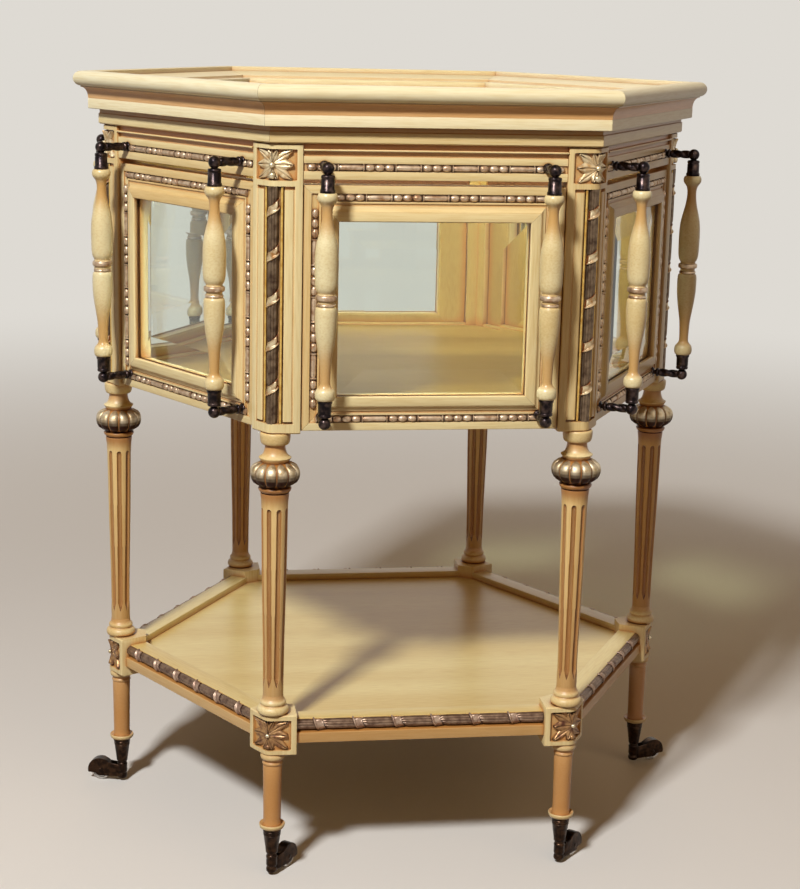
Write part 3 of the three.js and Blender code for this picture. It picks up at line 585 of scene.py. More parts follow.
def bead_and_reel(length):
    """A string of groups of three beads with long reels between them, along X, centred."""
    period = BEADS_IN_GROUP * BEAD_PITCH + REEL_LENGTH
    groups = max(1, math.floor((length + REEL_LENGTH) / period))
    spare = length - (groups * period - REEL_LENGTH)
    filler = [("reel", spare / 2)] if spare > 2 * BEAD_PITCH else []
    beads = [("bead", BEAD_PITCH)] * BEADS_IN_GROUP
    marks = filler + (beads + [("reel", REEL_LENGTH)]) * (groups - 1) + beads + filler
    x = -sum(size for kind, size in marks) / 2
    profile = [(0.4, x - 0.05)]
    for kind, size in marks:
        if kind == "bead":
            half = size / 2
            for k in range(9):
                angle = math.pi * (0.06 + 0.88 * k / 8)
                radius = BEAD_RADIUS * math.sin(angle) ** 0.8
                profile.append((radius, x + half - half * math.cos(angle)))
        else:
            profile += [(radius, x + share) for share, radius in REEL_END]
            profile += [(radius, x + size - share) for share, radius in REEL_END[::-1]]
        x += size
    profile.append((0.4, x + 0.05))
    return moved(turning(profile, 14), Matrix.Rotation(math.pi / 2, 4, "Y"))


def ball(centre, radius):
    """A small carved ball."""
    x, y, z = centre
    return turning(raised(arc(0, 0, radius, -86, 86, 9), z), 16, centre=(x, y))


# Degrees of a reed bundle to each side of its crown
BAND_SPREAD = 100
REEDS = 9
RIBBON_WIDTH = 9.5


def ridge(place, centre, width):
    """1 at the centre, falling away softly on both sides."""
    return math.exp(-(((place - centre) / width) ** 2))


def reed_bundle(point, start, end, first_tie, pitch, rise, radius):
    """A bundle of reeds, tied in where each ribbon crosses it. point(angle, radius, along) places
    a spot round the axis of the bundle, with the angle in degrees from its crown."""
    middle = first_tie + (RIBBON_WIDTH + rise) / 2

    def front(u, v):
        angle = -BAND_SPREAD + 2 * BAND_SPREAD * u
        along = start + v * (end - start)
        place = ((along - middle - rise * (u - 0.5)) / pitch) % 1.0
        waist = math.exp(-((min(place, 1 - place) * pitch / 5.2) ** 4))
        reed = abs(math.sin(math.radians(angle) * REEDS / 2)) ** 0.6
        swell = 0.05 * radius * (math.sin(math.pi * place) - 1)
        return point(angle, radius + swell + 0.75 * (reed - 1) - 1.3 * waist, along)

    def back(u, v):
        return point(-BAND_SPREAD + 2 * BAND_SPREAD * u, 2, start + v * (end - start))

    return relief_slab(6 * REEDS, round((end - start) / 1.5), front, back)


def ribbon_lift(u, v):
    """Height of one tie of the ribbon over the reeds: a hollow with a rolled lower edge and a curl
    at each end."""
    lower = 1.8 * ridge(v, 0.14, 0.12)
    upper = 0.5 * ridge(v, 0.93, 0.07)
    left = 1.3 * ridge(u, 0.17, 0.07) * ridge(v, 0.35, 0.4)
    right = 1.4 * ridge(u, 0.8, 0.09) * ridge(v, 0.6, 0.4)
    spine = 0.7 * ridge(u, 0.5, 0.05) * math.sin(math.pi * v)
    edge = min(1.0, min(v, 1 - v) / 0.05)
    return -1.4 + (max(lower, upper, left, right, spine - 0.5) + 1.4) * edge


def ribbon_ties(point, start, end, first_tie, pitch, rise, radius):
    """The ribbon's ties over a bundle of reeds, each slanting across it."""
    shapes = []
    first_tie -= pitch * math.ceil((first_tie - start) / pitch)
    while first_tie < end - 2:
        def place(u, v, out, first=first_tie):
            angle = -BAND_SPREAD + 2 * BAND_SPREAD * u
            along = first + rise * u + RIBBON_WIDTH * v - 1.5 * math.sin(math.pi * u)
            return point(angle, out, min(max(along, start + 0.3), end - 0.3))

        if first_tie + RIBBON_WIDTH + rise > start + 2:
            shapes.append(relief_slab(
                36, 20,
                lambda u, v: place(u, v, radius - 0.6 + ribbon_lift(u, v)),
                lambda u, v: place(u, v, radius - 3),
            ))
        first_tie += pitch
    return join_shapes(*shapes)


# Petals on one quarter of a rosette: direction in degrees, half width and height
PETALS = [(0, 5.2, 5.4), (31, 4.3, 4.8), (60, 4.0, 4.8), (90, 3.6, 5.2)]


def petal_height(across, up, half_width, half_height):
    """Height of a carved rosette over its ground: twelve leafy petals that reach the frame of their
    recess and rise toward their tips, so that the flower is dished, each with a fold along its
    middle and a dark gap on both sides."""
    across, up = abs(across), abs(up)
    height = 0.0
    for turn, breadth, lift in PETALS:
        angle = math.radians(turn)
        reach = 0.99 * min(
            half_width / max(math.cos(angle), 1e-6), half_height / max(math.sin(angle), 1e-6)
        )
        along = (across * math.cos(angle) + up * math.sin(angle)) / reach
        aside = abs(-across * math.sin(angle) + up * math.cos(angle))
        if not 0.05 < along < 1:
            continue
        lobed = 1 + 0.08 * math.sin(along * 4 * math.pi)
        tip = (1 - max(0.0, (along - 0.6) / 0.4) ** 2) ** 0.7
        width = breadth * lobed * tip * min(1.0, 0.22 + along / 0.62)
        share = aside / max(width, 1e-3)
        if share < 1:
            fold = 1 - 0.32 * ridge(share, 0, 0.16)
            dish = 0.45 + 0.55 * min(1.0, along / 0.9) ** 2
            height = max(height, lift * fold * dish * (1 - share ** 2) ** 0.4)
    return height


# Corner legs

ROSETTE_MARGIN = 5.7
ROSETTE_DEPTH = 3
CHANNEL_DEPTH = 4.2
CHANNEL_BOTTOM = POST_BOTTOM + 9.5
CHANNEL_TOP = ROSETTE_BLOCK
STRIP_TOP = CHANNEL_TOP - 2.6
POST_ROUND = 10
BAND_RADIUS = 5.3
BAND_AXIS = POST_FACE / CORNER_COS - BAND_RADIUS - 1


def on_post_face(face, along, side):
    """A plan point on one of the two faces that meet at the corner, along from the middle of the
    side."""
    normal = side * SIDE_TURN / 2
    return (
        face * math.cos(normal) + along * CORNER_SIN,
        face * math.sin(normal) - side * along * CORNER_COS,
    )


def corner_plan(depth_at, notched=True):
    """The wedge that wraps a corner: depth_at gives points of distance in from the post's edge and
    depth below its face, and the same outline is drawn on both faces round the rounded corner. A
    post has a notch inside, and a shelf block ends straight."""
    upper, lower = (
        [on_post_face(POST_FACE - depth, POST_EDGE + along, side) for along, depth in depth_at]
        for side in (1, -1)
    )
    depth = depth_at[-1][1]
    tip = arc((POST_FACE - POST_ROUND) / CORNER_COS, 0, POST_ROUND - depth, 30, -30, 8)
    notch = [(POST_BACK / CORNER_COS, 0)] if notched else []
    back = [on_post_face(POST_BACK, POST_EDGE, -1), *notch, on_post_face(POST_BACK, POST_EDGE, 1)]
    return [*upper, *tip, *lower[::-1], *back]


# The stile, a scratched line, the sunk strip and the channel, from the edge of the post inward
PLAIN = [(0, 1.2), (0.35, 0.35), (1.2, 0), (6.9, 0), (7.4, 0), (7.8, 0), (8.5, 0), (9.1, 0),
         (12.4, 0), (16.2, 0), (16.9, 0), (17.2, 0), (23, 0)]
FLUSH = [(along, depth + 1.2) for along, depth in PLAIN]
CHANNEL = [(0, 1.2), (0.35, 0.35), (1.2, 0), (6.7, 0), (7.3, 0.35), (7.7, 1.0), (8.3, 1.0),
           (9.0, 0.4), (12.4, 0.1), (15.6, 0.4), (16.6, 1.2), (17.1, CHANNEL_DEPTH),
           (23, CHANNEL_DEPTH)]
SUNK = [(0, 1.2), (0.35, 0.35), (1.2, 0), (6.7, 0), (7.3, 0.5), (7.7, 2.6), (8.3, 2.6), (9.0, 2.6),
        (12.4, 2.6), (15.6, 2.6), (16.6, 2.6), (17.1, CHANNEL_DEPTH), (23, CHANNEL_DEPTH)]
RECESS = [(0, 1.2), (0.35, 0.35), (1.2, 0), (4.9, 0), (5.5, 0.4), (5.9, ROSETTE_DEPTH)]
RECESS += [(along, ROSETTE_DEPTH) for along in (8.2, 8.7, 12.4, 16.2, 16.9, 17.2, 23)]


def block_levels(bottom, top):
    """A block with its edges eased and a recess for the rosette."""
    return [
        (FLUSH, bottom), (PLAIN, bottom + 1.0), (PLAIN, bottom + ROSETTE_MARGIN - 0.7),
        (RECESS, bottom + ROSETTE_MARGIN), (RECESS, top - ROSETTE_MARGIN),
        (PLAIN, top - ROSETTE_MARGIN + 0.7), (PLAIN, top - 1.0), (FLUSH, top),
    ]


def behind_rosette(face):
    """Whether a face is the sunk ground behind a rosette."""
    x, y, z = face.center / MM
    depth = POST_FACE - x * CORNER_COS - abs(y) * CORNER_SIN
    return any(
        bottom + ROSETTE_MARGIN < z < top - ROSETTE_MARGIN and 2.6 < depth < 4.1
        for bottom, top in ((BLOCK_BOTTOM, BLOCK_TOP), (ROSETTE_BLOCK, POST_TOP))
    )


def post_wood():
    post_levels = [
        (FLUSH, POST_BOTTOM), (PLAIN, POST_BOTTOM + 1.2), (PLAIN, CHANNEL_BOTTOM),
        (SUNK, CHANNEL_BOTTOM + 0.4), (SUNK, CHANNEL_BOTTOM + 1.2),
        (CHANNEL, CHANNEL_BOTTOM + 2.2), (CHANNEL, STRIP_TOP - 0.6), (SUNK, STRIP_TOP),
        (SUNK, CHANNEL_TOP - 0.4), (PLAIN, CHANNEL_TOP), *block_levels(ROSETTE_BLOCK, POST_TOP)[2:],
    ]
    shelf_levels = block_levels(BLOCK_BOTTOM, BLOCK_TOP)
    return join_shapes(*(
        stacked([
            [(x, y, height) for x, y in corner_plan(plan, notched)] for plan, height in levels
        ])
        for levels, notched in ((post_levels, True), (shelf_levels, False))
    ))


def leg_turning(profile, shape=None, segments=48):
    """A part turned about the leg's axis."""
    return turning(profile, segments, shape, (LEG_CIRCLE, 0))


# From the castor cup up to the block: dished foot ring, tapered leg, fine ring, collar
FOOT_PROFILE = [
    *raised([
        (6.0, 0), (10.2, 0), (11.4, 0.5), (12.2, 1.6), (12.6, 3.0), (12.7, 4.3), (12.3, 4.9),
        (11.6, 4.6), (9.9, 3.6), (9.0, 3.6), (8.6, 4.8),
    ], FOOT),
    (8.6, 62), (8.7, 75), (9.0, 98), (9.3, 115.6), (9.0, 116.6), (9.7, 117.2), (10.0, 118.4),
    (9.7, 119.6), (9.0, 120.2), (8.9, 121.4), (9.4, 122.4), (10.9, 122.9), (11.7, 123.9),
    (11.9, 125.6), (11.7, 127.4), (11.0, 128.4), (10.8, BLOCK_BOTTOM),
]
# The base of the fluted shaft: a full round with a smaller ring on it, and the plain drum
TORUS_PROFILE = [
    *raised([
        (13.4, 0), (14.4, 0.6), (15.2, 2.4), (15.3, 4.4), (14.7, 6.4), (13.3, 7.8),
    ], BLOCK_TOP),
    (12.0, 178.0), (11.7, 178.6), (12.2, 179.2), (12.7, 180.4), (12.6, 181.8), (11.9, 183.0),
    (10.9, 183.8), (10.3, 185.2), (9.85, 188.4),
]
# Over the bulb: a sharp flared lip under a hollow neck, and the round cushion under the post
CAPITAL_PROFILE = [
    *raised([
        (12.2, -1), (12.6, -0.4), (13.2, 0.8), (14.4, 2.5), (15.3, 3.8), (15.4, 4.3), (14.9, 4.7),
        (13.2, 5.5), (11.7, 7.2), (10.7, 9.4), (9.9, 12.4), (9.6, 15), (9.5, 16.4), (10.2, 16.8),
        (12.2, 17.0), (13.2, 18.0), (13.9, 20), (14.3, 23), (14.4, 26),
    ], BULB_TOP),
    (14.2, POST_BOTTOM - 0.8), (13.4, POST_BOTTOM),
]
# The collar under the bulb
COLLAR_PROFILE = [
    *raised([
        (12.6, -0.6), (14.0, -0.2), (14.9, 0.7), (15.6, 2.1), (15.8, 3.2), (15.3, 4.0),
    ], SHAFT_TOP),
    (13.4, BULB_BOTTOM + 0.2),
]

FLUTES = 8
FLUTE_DEPTH = 2.3
FLUTE_BOTTOM = SHAFT_BOTTOM + 13.6
FLUTE_TOP = SHAFT_TOP - 15.7
# Heights and radii of the shaft between its base and the collar
SHAFT_RADII = [(183, 9.75), (190, 9.8), (236, 10.2), (316, 11.9), (375, 12.6), (383, 13.0),
               (388.2, 13.7), (389, 13.5), (389.6, 12.2), (391, 12.2)]


def flute(angle, height, radius):
    """The shaft's radius with its flutes cut in."""
    step = 2 * math.pi / FLUTES
    off = (angle + step / 2) % step - step / 2
    share = 0.7 - 0.2 * min(1.0, max(0.0, (height - FLUTE_BOTTOM) / 120))
    half = share * step / 2 * radius
    across = abs(off) * radius / half
    up = (height - FLUTE_BOTTOM) / (3.4 * half)
    down = (FLUTE_TOP - height) / (1.7 * half)
    if up < 0 or down < 0:
        return radius
    width = min(1.0, up, math.sqrt(1 - (1 - min(1.0, down)) ** 2))
    if across >= width:
        return radius
    return radius - FLUTE_DEPTH * math.sqrt(1 - (across / width) ** 2) * width ** 0.6


def fluted_shaft():
    """Eight flutes, round-headed at the top, and wider below where they run out to a point."""
    heights = [SHAFT_BOTTOM + 2, SHAFT_BOTTOM + 3, SHAFT_BOTTOM + 8]
    heights += [FLUTE_BOTTOM - 0.5 + 0.7 * i for i in range(18)]
    heights += [FLUTE_BOTTOM + 14, FLUTE_BOTTOM + 40, 236, 270, 316, FLUTE_TOP - 12]
    heights += [FLUTE_TOP - (0.45 * i - 0.5) for i in range(15, -1, -1)]
    heights += [SHAFT_TOP - 9, SHAFT_TOP - 2.2, SHAFT_TOP - 1.4, SHAFT_TOP - 0.8, SHAFT_TOP + 0.5]
    profile = [(radius_at(SHAFT_RADII, height), height) for height in heights]
    return leg_turning(profile, flute, FLUTES * 24)


LOBES = 12
# Outline of a lobe's crest as shares of the bulb's height, with radii
LOBE_CREST = [(0, 15.2), (0.08, 18.4), (0.2, 21.3), (0.35, 23.2), (0.5, 23.9), (0.62, 23.8),
              (0.75, 22.8), (0.87, 20.5), (0.95, 17.9), (1, 15.4)]
LOBE_SPREAD = math.radians(14.5)


def bulb_height(share):
    return BULB_BOTTOM + share * (BULB_TOP - BULB_BOTTOM)


def bulb_core():
    """The painted core of the bulb, seen as a thin line between the lobes."""
    shares = [k / 14 for k in range(15)]
    return leg_turning([(radius_at(LOBE_CREST, s) - 2.5, bulb_height(s)) for s in shares])


def bulb_lobes():
    """Twelve gadroons, full at the waist of the bulb and rounded at both ends."""
    shapes = []
    for lobe in range(LOBES):
        turn = 2 * math.pi * (lobe + 0.5) / LOBES

        def point(u, v, lift):
            share = 0.01 + 0.98 * v
            end = min(share / 0.2, (1 - share) / 0.16, 1.0)
            aside = 2 * u - 1
            bulge = 3.6 * max(0.0, 1 - abs(aside) ** 2.5) ** 0.5 * (0.4 + 0.6 * end)
            radius = radius_at(LOBE_CREST, share) - 3.6 + (bulge if lift else -1.0)
            angle = turn + aside * LOBE_SPREAD * math.sqrt(1 - (1 - end) ** 2)
            return (
                LEG_CIRCLE + radius * math.cos(angle), radius * math.sin(angle), bulb_height(share)
            )

        shapes.append(relief_slab(
            12, 26, lambda u, v: point(u, v, True), lambda u, v: point(u, v, False)
        ))
    return join_shapes(*shapes)


RIBBON_PITCH = 41.5
RIBBON_RISE = 9.5
# Height of the lower left end of the lowest full ribbon
FIRST_RIBBON = 481


def band_point(angle, radius, height):
    """A point round the axis of the corner band; a greater angle is further right from outside."""
    turn = math.radians(angle)
    return (BAND_AXIS + radius * math.cos(turn), radius * math.sin(turn), height)


def gilt_fillets():
    """A thin painted and gilded bead on each side of the corner band."""
    shapes = []
    for side in (-1, 1):
        centre = on_post_face(POST_FACE - CHANNEL_DEPTH + 1.6, POST_EDGE + 18.9, side)
        profile = [(1.35, CHANNEL_BOTTOM + 0.5), (1.35, CHANNEL_TOP - 0.5)]
        shapes.append(turning(profile, 10, centre=centre))
    return join_shapes(*shapes)


def rosette(bottom, top, centre_radius, drop_radius):
    """A leafy rosette that wraps the corner in its recess, with a ball at its middle and one that
    hangs at its foot."""
    half_width = POST_WIDTH - ROSETTE_MARGIN - 0.6
    half_height = (top - bottom) / 2 - ROSETTE_MARGIN - 0.3
    middle = (bottom + top) / 2
    ground = POST_FACE - ROSETTE_DEPTH
    ease = 4.5

    def skin(height_at):
        def point(u, v):
            across = (2 * u - 1) * half_width
            up = (2 * v - 1) * half_height
            # The fold over the edge is eased, so that the flower isn't cut in two
            distance = math.sqrt(across ** 2 + ease ** 2) - ease
            side = 1 if across > 0 else -1
            tilt = math.atan2(abs(across), ease) / (math.pi / 2)
            normal = side * (SIDE_TURN / 2) * tilt
            x = (ground - 0.9) / CORNER_COS - distance * CORNER_SIN
            y = side * distance * CORNER_COS
            lift = height_at(across, up)
            return (x + lift * math.cos(normal), y + lift * math.sin(normal), middle + up)
        return point

    front = skin(lambda across, up: petal_height(across, up, half_width, half_height) - 0.4)
    petals = relief_slab(110, 64, front, skin(lambda across, up: -1.2))
    edge = (ground - 0.9) / CORNER_COS
    centre = ball((edge + 2.4, 0, middle), centre_radius)
    drop = ball((edge + 1.6, 0, middle - half_height + drop_radius), drop_radius)
    return petals, centre, drop


leg_wood = build_mesh("leg_wood", post_wood(), upright_paint, smooth=30)
# The faces looking into the case take the darker inside paint, painted shade
repaint(leg_wood, shaded_inside_paint, looks_inward)
# The sunk ground behind each rosette takes the darker tan of the shelf rails: painted shade in the
# recess
repaint(leg_wood, shelf_paint, behind_rosette)
turnings = join_shapes(*map(leg_turning, (FOOT_PROFILE, TORUS_PROFILE, CAPITAL_PROFILE)))
leg_turnings = build_mesh("leg_turnings", turnings, turned_paint, smooth=50)
leg_shaft = build_mesh("leg_shaft", fluted_shaft(), shaft_paint, smooth=40)
bulb_and_collar = join_shapes(bulb_core(), leg_turning(COLLAR_PROFILE))
leg_bulb_core = build_mesh("leg_bulb_core", bulb_and_collar, amber_glaze_and_shade_paint)
leg_bulb = build_mesh("leg_bulb_lobes", bulb_lobes(), bulb_gilt)
band_run = (
    band_point, CHANNEL_BOTTOM, CHANNEL_TOP, FIRST_RIBBON, RIBBON_PITCH, RIBBON_RISE, BAND_RADIUS,
)
leg_reeds = build_mesh("leg_reed_bundle", reed_bundle(*band_run), reed_bronze)
leg_ribbons = build_mesh("leg_ribbon_ties", ribbon_ties(*band_run), ribbon_gilt)
leg_fillets = build_mesh("leg_fillets", gilt_fillets(), fillet_gilt)
post_petals, post_centre, post_drop = rosette(ROSETTE_BLOCK, POST_TOP, 2.8, 3.6)
block_petals, block_centre, block_drop = rosette(BLOCK_BOTTOM, BLOCK_TOP, 2.1, 2.6)
post_rosette = build_mesh("post_rosette", post_petals, petal_gilt)
block_rosette = build_mesh("block_rosette", join_shapes(block_petals, block_drop), leaf_bronze)
balls = join_shapes(post_centre, post_drop, block_centre)
rosette_balls = build_mesh("rosette_balls", balls, silver_gilt)
place_round(
    CORNERS,
    ("post_and_block", leg_wood, "corner_leg_"), ("leg_turnings", leg_turnings),
    ("leg_fluted_shaft", leg_shaft), ("leg_bulb_core", leg_bulb_core), ("leg_bulb_lobes", leg_bulb),
    ("post_reeds", leg_reeds), ("post_ribbon", leg_ribbons), ("post_fillets", leg_fillets),
    ("post_rosette", post_rosette), ("block_rosette", block_rosette),
    ("rosette_balls", rosette_balls),
)


# Case top

FRIEZE_CHANNEL = 690.6
FRIEZE_CHANNEL_WIDTH = 7
FRIEZE_BEADS = 694.1
# The rebate over the channel and the half round in it
FRIEZE_REBATE = 704.1
FRIEZE_ROUND = 708.4
SQUARE_END = POST_EDGE - 0.3


def frieze_outline():
    face, head = FRIEZE_FACE, CORNICE_BOTTOM + 0.2
    channel_top = FRIEZE_CHANNEL + FRIEZE_CHANNEL_WIDTH
    return soften([
        (FRIEZE_BACK, FRIEZE_BOTTOM), (face, FRIEZE_BOTTOM), (face, FRIEZE_CHANNEL),
        (face - 1.6, FRIEZE_CHANNEL), (face - 1.6, channel_top), (face, channel_top),
        (face, FRIEZE_REBATE), (face - 2, FRIEZE_REBATE), (face - 2, FRIEZE_ROUND),
        (face + 1.6, FRIEZE_ROUND), (face + 2.3, FRIEZE_ROUND + 1), (face + 1.6, FRIEZE_ROUND + 2),
        (face - 2, FRIEZE_ROUND + 2), (face - 2, head), (FRIEZE_BACK, head),
    ], 0.45, 2)


cornice = moulding(soften([
    (CORNICE_BACK, CORNICE_BOTTOM), (CORNICE_FACE - 1.5, CORNICE_BOTTOM),
    (CORNICE_FACE, CORNICE_BOTTOM + 1.2), (CORNICE_FACE, CORNICE_TOP - 4.5),
    (CORNICE_FACE - 1, CORNICE_TOP - 4), (CORNICE_FACE - 1, CORNICE_TOP),
    (CORNICE_BACK, CORNICE_TOP),
], 0.6))
cornice_mesh = build_mesh("case_cornice", cornice, rail_paint, smooth=35)
repaint(cornice_mesh, shaded_inside_paint, looks_inward)
frieze = build_mesh("frieze_rail", moulding(frieze_outline(), SQUARE_END), rail_paint, smooth=35)
repaint(frieze, shaded_inside_paint, looks_inward)
bead_spot = Matrix.Translation((0, -(FRIEZE_FACE - 1.0), FRIEZE_BEADS))
bead_string = moved(bead_and_reel(2 * POST_EDGE - 2), bead_spot)
frieze_beads = build_mesh("frieze_beads", bead_string, bead_gilt)
place_round(
    FACES,
    ("case_cornice", cornice_mesh, "case_top_frame"), ("frieze_rail", frieze),
    ("frieze_beads", frieze_beads),
)


# Side panels

BEAD_INSET = 11
BATTEN_BOTTOM = 628.5
BATTEN_TOP = 652
BATTEN_DEPTH = 6


def panel_outline():
    face = PANEL_FACE
    sight = 32.8
    cove = [(18.8 + 4.4 * k / 5, face + 0.2 + 3.4 * (k / 5) ** 2) for k in range(6)]
    return soften([
        (0, PANEL_BACK), (0, face - 0.4), (0.4, face), (7.5, face), (7.5, face - 1.6),
        (14.5, face - 1.6), (14.5, face), (16.4, face), (16.4, face - 1.2), (18.0, face - 1.2),
        *cove, (23.9, face + 3.6), (23.9, face + 4.0), (sight - 0.8, face + 4.0),
        (sight, face + 3.0), (sight, face), (28, face), (28, face - 5.6),
        (sight, face - 5.6), (sight, PANEL_BACK + 2), (sight - 2, PANEL_BACK),
    ], 0.4, 2)


def panel_bead_runs():
    """Bead and reel round the outer frame, four runs that stop short of the corners."""
    runs = []
    for turns in range(4):
        half_along, half_across, place = frame_member(turns)
        inset = Matrix.Translation((0, -(PANEL_FACE - 1.0), BEAD_INSET - half_across))
        runs.append(moved(bead_and_reel(2 * (half_along - BEAD_INSET - 2)), place @ inset))
    return join_shapes(*runs)


panel_rails, panel_stiles = (
    build_mesh(name, mitred_members(panel_outline(), members), paint, smooth=35)
    for name, members, paint in (
        ("panel_rails", RAILS, rail_paint), ("panel_stiles", STILES, upright_paint),
    )
)
for mesh in (panel_rails, panel_stiles):
    repaint(mesh, shaded_inside_paint, looks_inward)
panel_beads = build_mesh("panel_beads", panel_bead_runs(), bead_gilt)
# A batten along the head of each back pane, seen as a brown line through the gap over a front
# panel; its dark brown is painted shade
batten_back = PANEL_BACK - BATTEN_DEPTH
batten = build_mesh("pane_batten", moulding(soften([
    (PANEL_BACK - 0.1, BATTEN_BOTTOM), (PANEL_BACK - 0.1, BATTEN_TOP), (batten_back, BATTEN_TOP),
    (batten_back, BATTEN_BOTTOM),
], 0.8), PANEL_HALF), shaded_batten_paint, smooth=35)
for number, side in enumerate(FACES):
    place_piece(f"panel_rails_{side}", panel_rails, [f"side_panel_{side}"], number)
    place_piece(f"panel_stiles_{side}", panel_stiles, (), number)
    place_piece(f"panel_beads_{side}", panel_beads, (), number)
    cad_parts[f"panel_glass_{side}"].data.materials[0] = glass
    if "back" in side:
        place_piece(f"pane_batten_{side}", batten, (), number)


# Lid

COVE_BOTTOM = 740.6
COVE_TOP = 752.2


def lid_outline():
    spring = COVE_BOTTOM + 1.2
    nose = arc(280.65, 760.5, 7.5, -90, 90, 12)
    cove = arc(FASCIA_FACE + 6.5, spring, 6.5, 180, 90, 7)
    cove = [(x, spring + (y - spring) * 10.2 / 6.5) for x, y in cove]
    return [
        (226.65, LID_BOTTOM), (FASCIA_FACE - 0.6, LID_BOTTOM), (FASCIA_FACE, LID_BOTTOM + 0.6),
        (FASCIA_FACE, COVE_BOTTOM), (FASCIA_FACE - 0.3, COVE_BOTTOM + 0.4), *cove,
        (281.65, COVE_TOP), (281.65, COVE_TOP + 0.8),
        *nose, (271.3, LID_TOP), (270.65, LID_TOP - 0.6), (270.5, 763.6), (270.1, 762.2),
        (269.3, 762.2), (268.9, 763.0), (264, 762.4), (257, 760.4), (252.4, 759.4), (250.7, 759.2),
        (250.15, 758.6), (250.1, 756.6), (249.6, 756.0), (239.4, 756.0), (238.65, 755.3),
        (238.65, 742.2), (226.65, 742.2),
    ]


def under_nose(face):
    """Whether a face is part of the cove under the lid's nose, which takes painted warm shade."""
    outer = -face.center.y > (FASCIA_FACE - 3.15) * MM
    in_cove = (COVE_BOTTOM + 0.2) * MM < face.center.z < (COVE_TOP + 0.4) * MM
    return outer and in_cove and face.normal.z < 0.1


lid_moulding = build_mesh("lid_moulding", moulding(lid_outline()), lid_paint, smooth=40)
# The cove under the nose takes a warmer, darker paint: painted warm shade
repaint(lid_moulding, shaded_cove_paint, under_nose)
place_round(FACES, ("lid_moulding", lid_moulding, "lid_frame"), body="lid")
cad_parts["lid_glass"].data.materials[0] = glass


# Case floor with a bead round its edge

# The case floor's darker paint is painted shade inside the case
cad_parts["case_floor"].data.materials[0] = shaded_case_floor_paint
floor_bead = build_mesh("case_floor_bead", moulding([
    (239.6, CASE_FLOOR_TOP + 3), *arc(236.6, CASE_FLOOR_TOP, 3, 180, 90, 6),
    (239.6, CASE_FLOOR_TOP),
]), shaded_inside_paint, smooth=35)
place_round(FACES, ("case_floor_bead", floor_bead))


# Shelf

MOULDING_RADIUS = 5.8
# How far the first ribbon tie lies from the moulding's end, their pitch, and their slant
FIRST_TIE = 22
TIE_PITCH = 38.5
TIE_RISE = -7
SHELF_LIP_BACK = 232.1
SHELF_LEDGE_TOP = 146.2
SHELF_FILLET_TOP = 149.9


def shelf_rail_outline():
    face, top = SHELF_RAIL_FACE, SHELF_RAIL_TOP - 5.6
    return soften([
        (face, SHELF_RAIL_BOTTOM), (face, SHELF_FILLET_TOP), (face - 3.4, SHELF_FILLET_TOP + 0.3),
        (face - 6.2, SHELF_FILLET_TOP + 1.6), (face - 6.2, top), (SHELF_RAIL_BACK, top),
        (SHELF_RAIL_BACK, SHELF_LEDGE_TOP), (SHELF_LEDGE_BACK, SHELF_LEDGE_TOP),
        (SHELF_LEDGE_BACK, SHELF_RAIL_BOTTOM),
    ], 0.7)


def shelf_lip_outline():
    """The flat strip on the rail, which laps over the edge of the board."""
    face, top, board = SHELF_RAIL_FACE - 6.4, SHELF_RAIL_TOP, SHELF_BOARD_TOP + 0.05
    back = SHELF_RAIL_BACK + 0.3
    return soften([
        (face, top - 5.5), (face, top), (SHELF_LIP_BACK, top), (SHELF_LIP_BACK, board),
        (back, board), (back, top - 5.5),
    ], 0.6)


def moulding_point(angle, radius, along):
    """A point round the axis of the shelf rail's carved moulding; a greater angle is higher."""
    turn = math.radians(angle)
    face = SHELF_RAIL_FACE - MOULDING_RADIUS - 0.3 + radius * math.cos(turn)
    return (along, -face, SHELF_RAIL_TOP - MOULDING_RADIUS + radius * math.sin(turn))


rail_length = moulding(shelf_rail_outline(), SQUARE_END)
shelf_rail = build_mesh("shelf_rail", rail_length, shelf_paint, smooth=35)
shelf_lip = build_mesh("shelf_lip", moulding(shelf_lip_outline()), board_paint, smooth=35)
moulding_end = POST_EDGE - 0.6
moulding_run = (
    moulding_point, -moulding_end, moulding_end, FIRST_TIE - moulding_end, TIE_PITCH, TIE_RISE,
    MOULDING_RADIUS - 0.5,
)
shelf_reeds = build_mesh("shelf_reed_moulding", reed_bundle(*moulding_run), moulding_gilt)
shelf_ties = build_mesh("shelf_ribbon_ties", ribbon_ties(*moulding_run), tie_gilt)
place_round(
    FACES,
    ("shelf_rail", shelf_rail, "shelf_frame"), ("shelf_lip", shelf_lip),
    ("shelf_reed_moulding", shelf_reeds), ("shelf_ribbon_ties", shelf_ties),
)
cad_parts["shelf_board"].data.materials[0] = board_paint


# Spindles and brackets

CAP_RADIUS = 6.3
BALL_RADIUS = 5.8
ROPE_RADIUS = 4.2
ROPE_TURN = 11
ROPE_END = 25


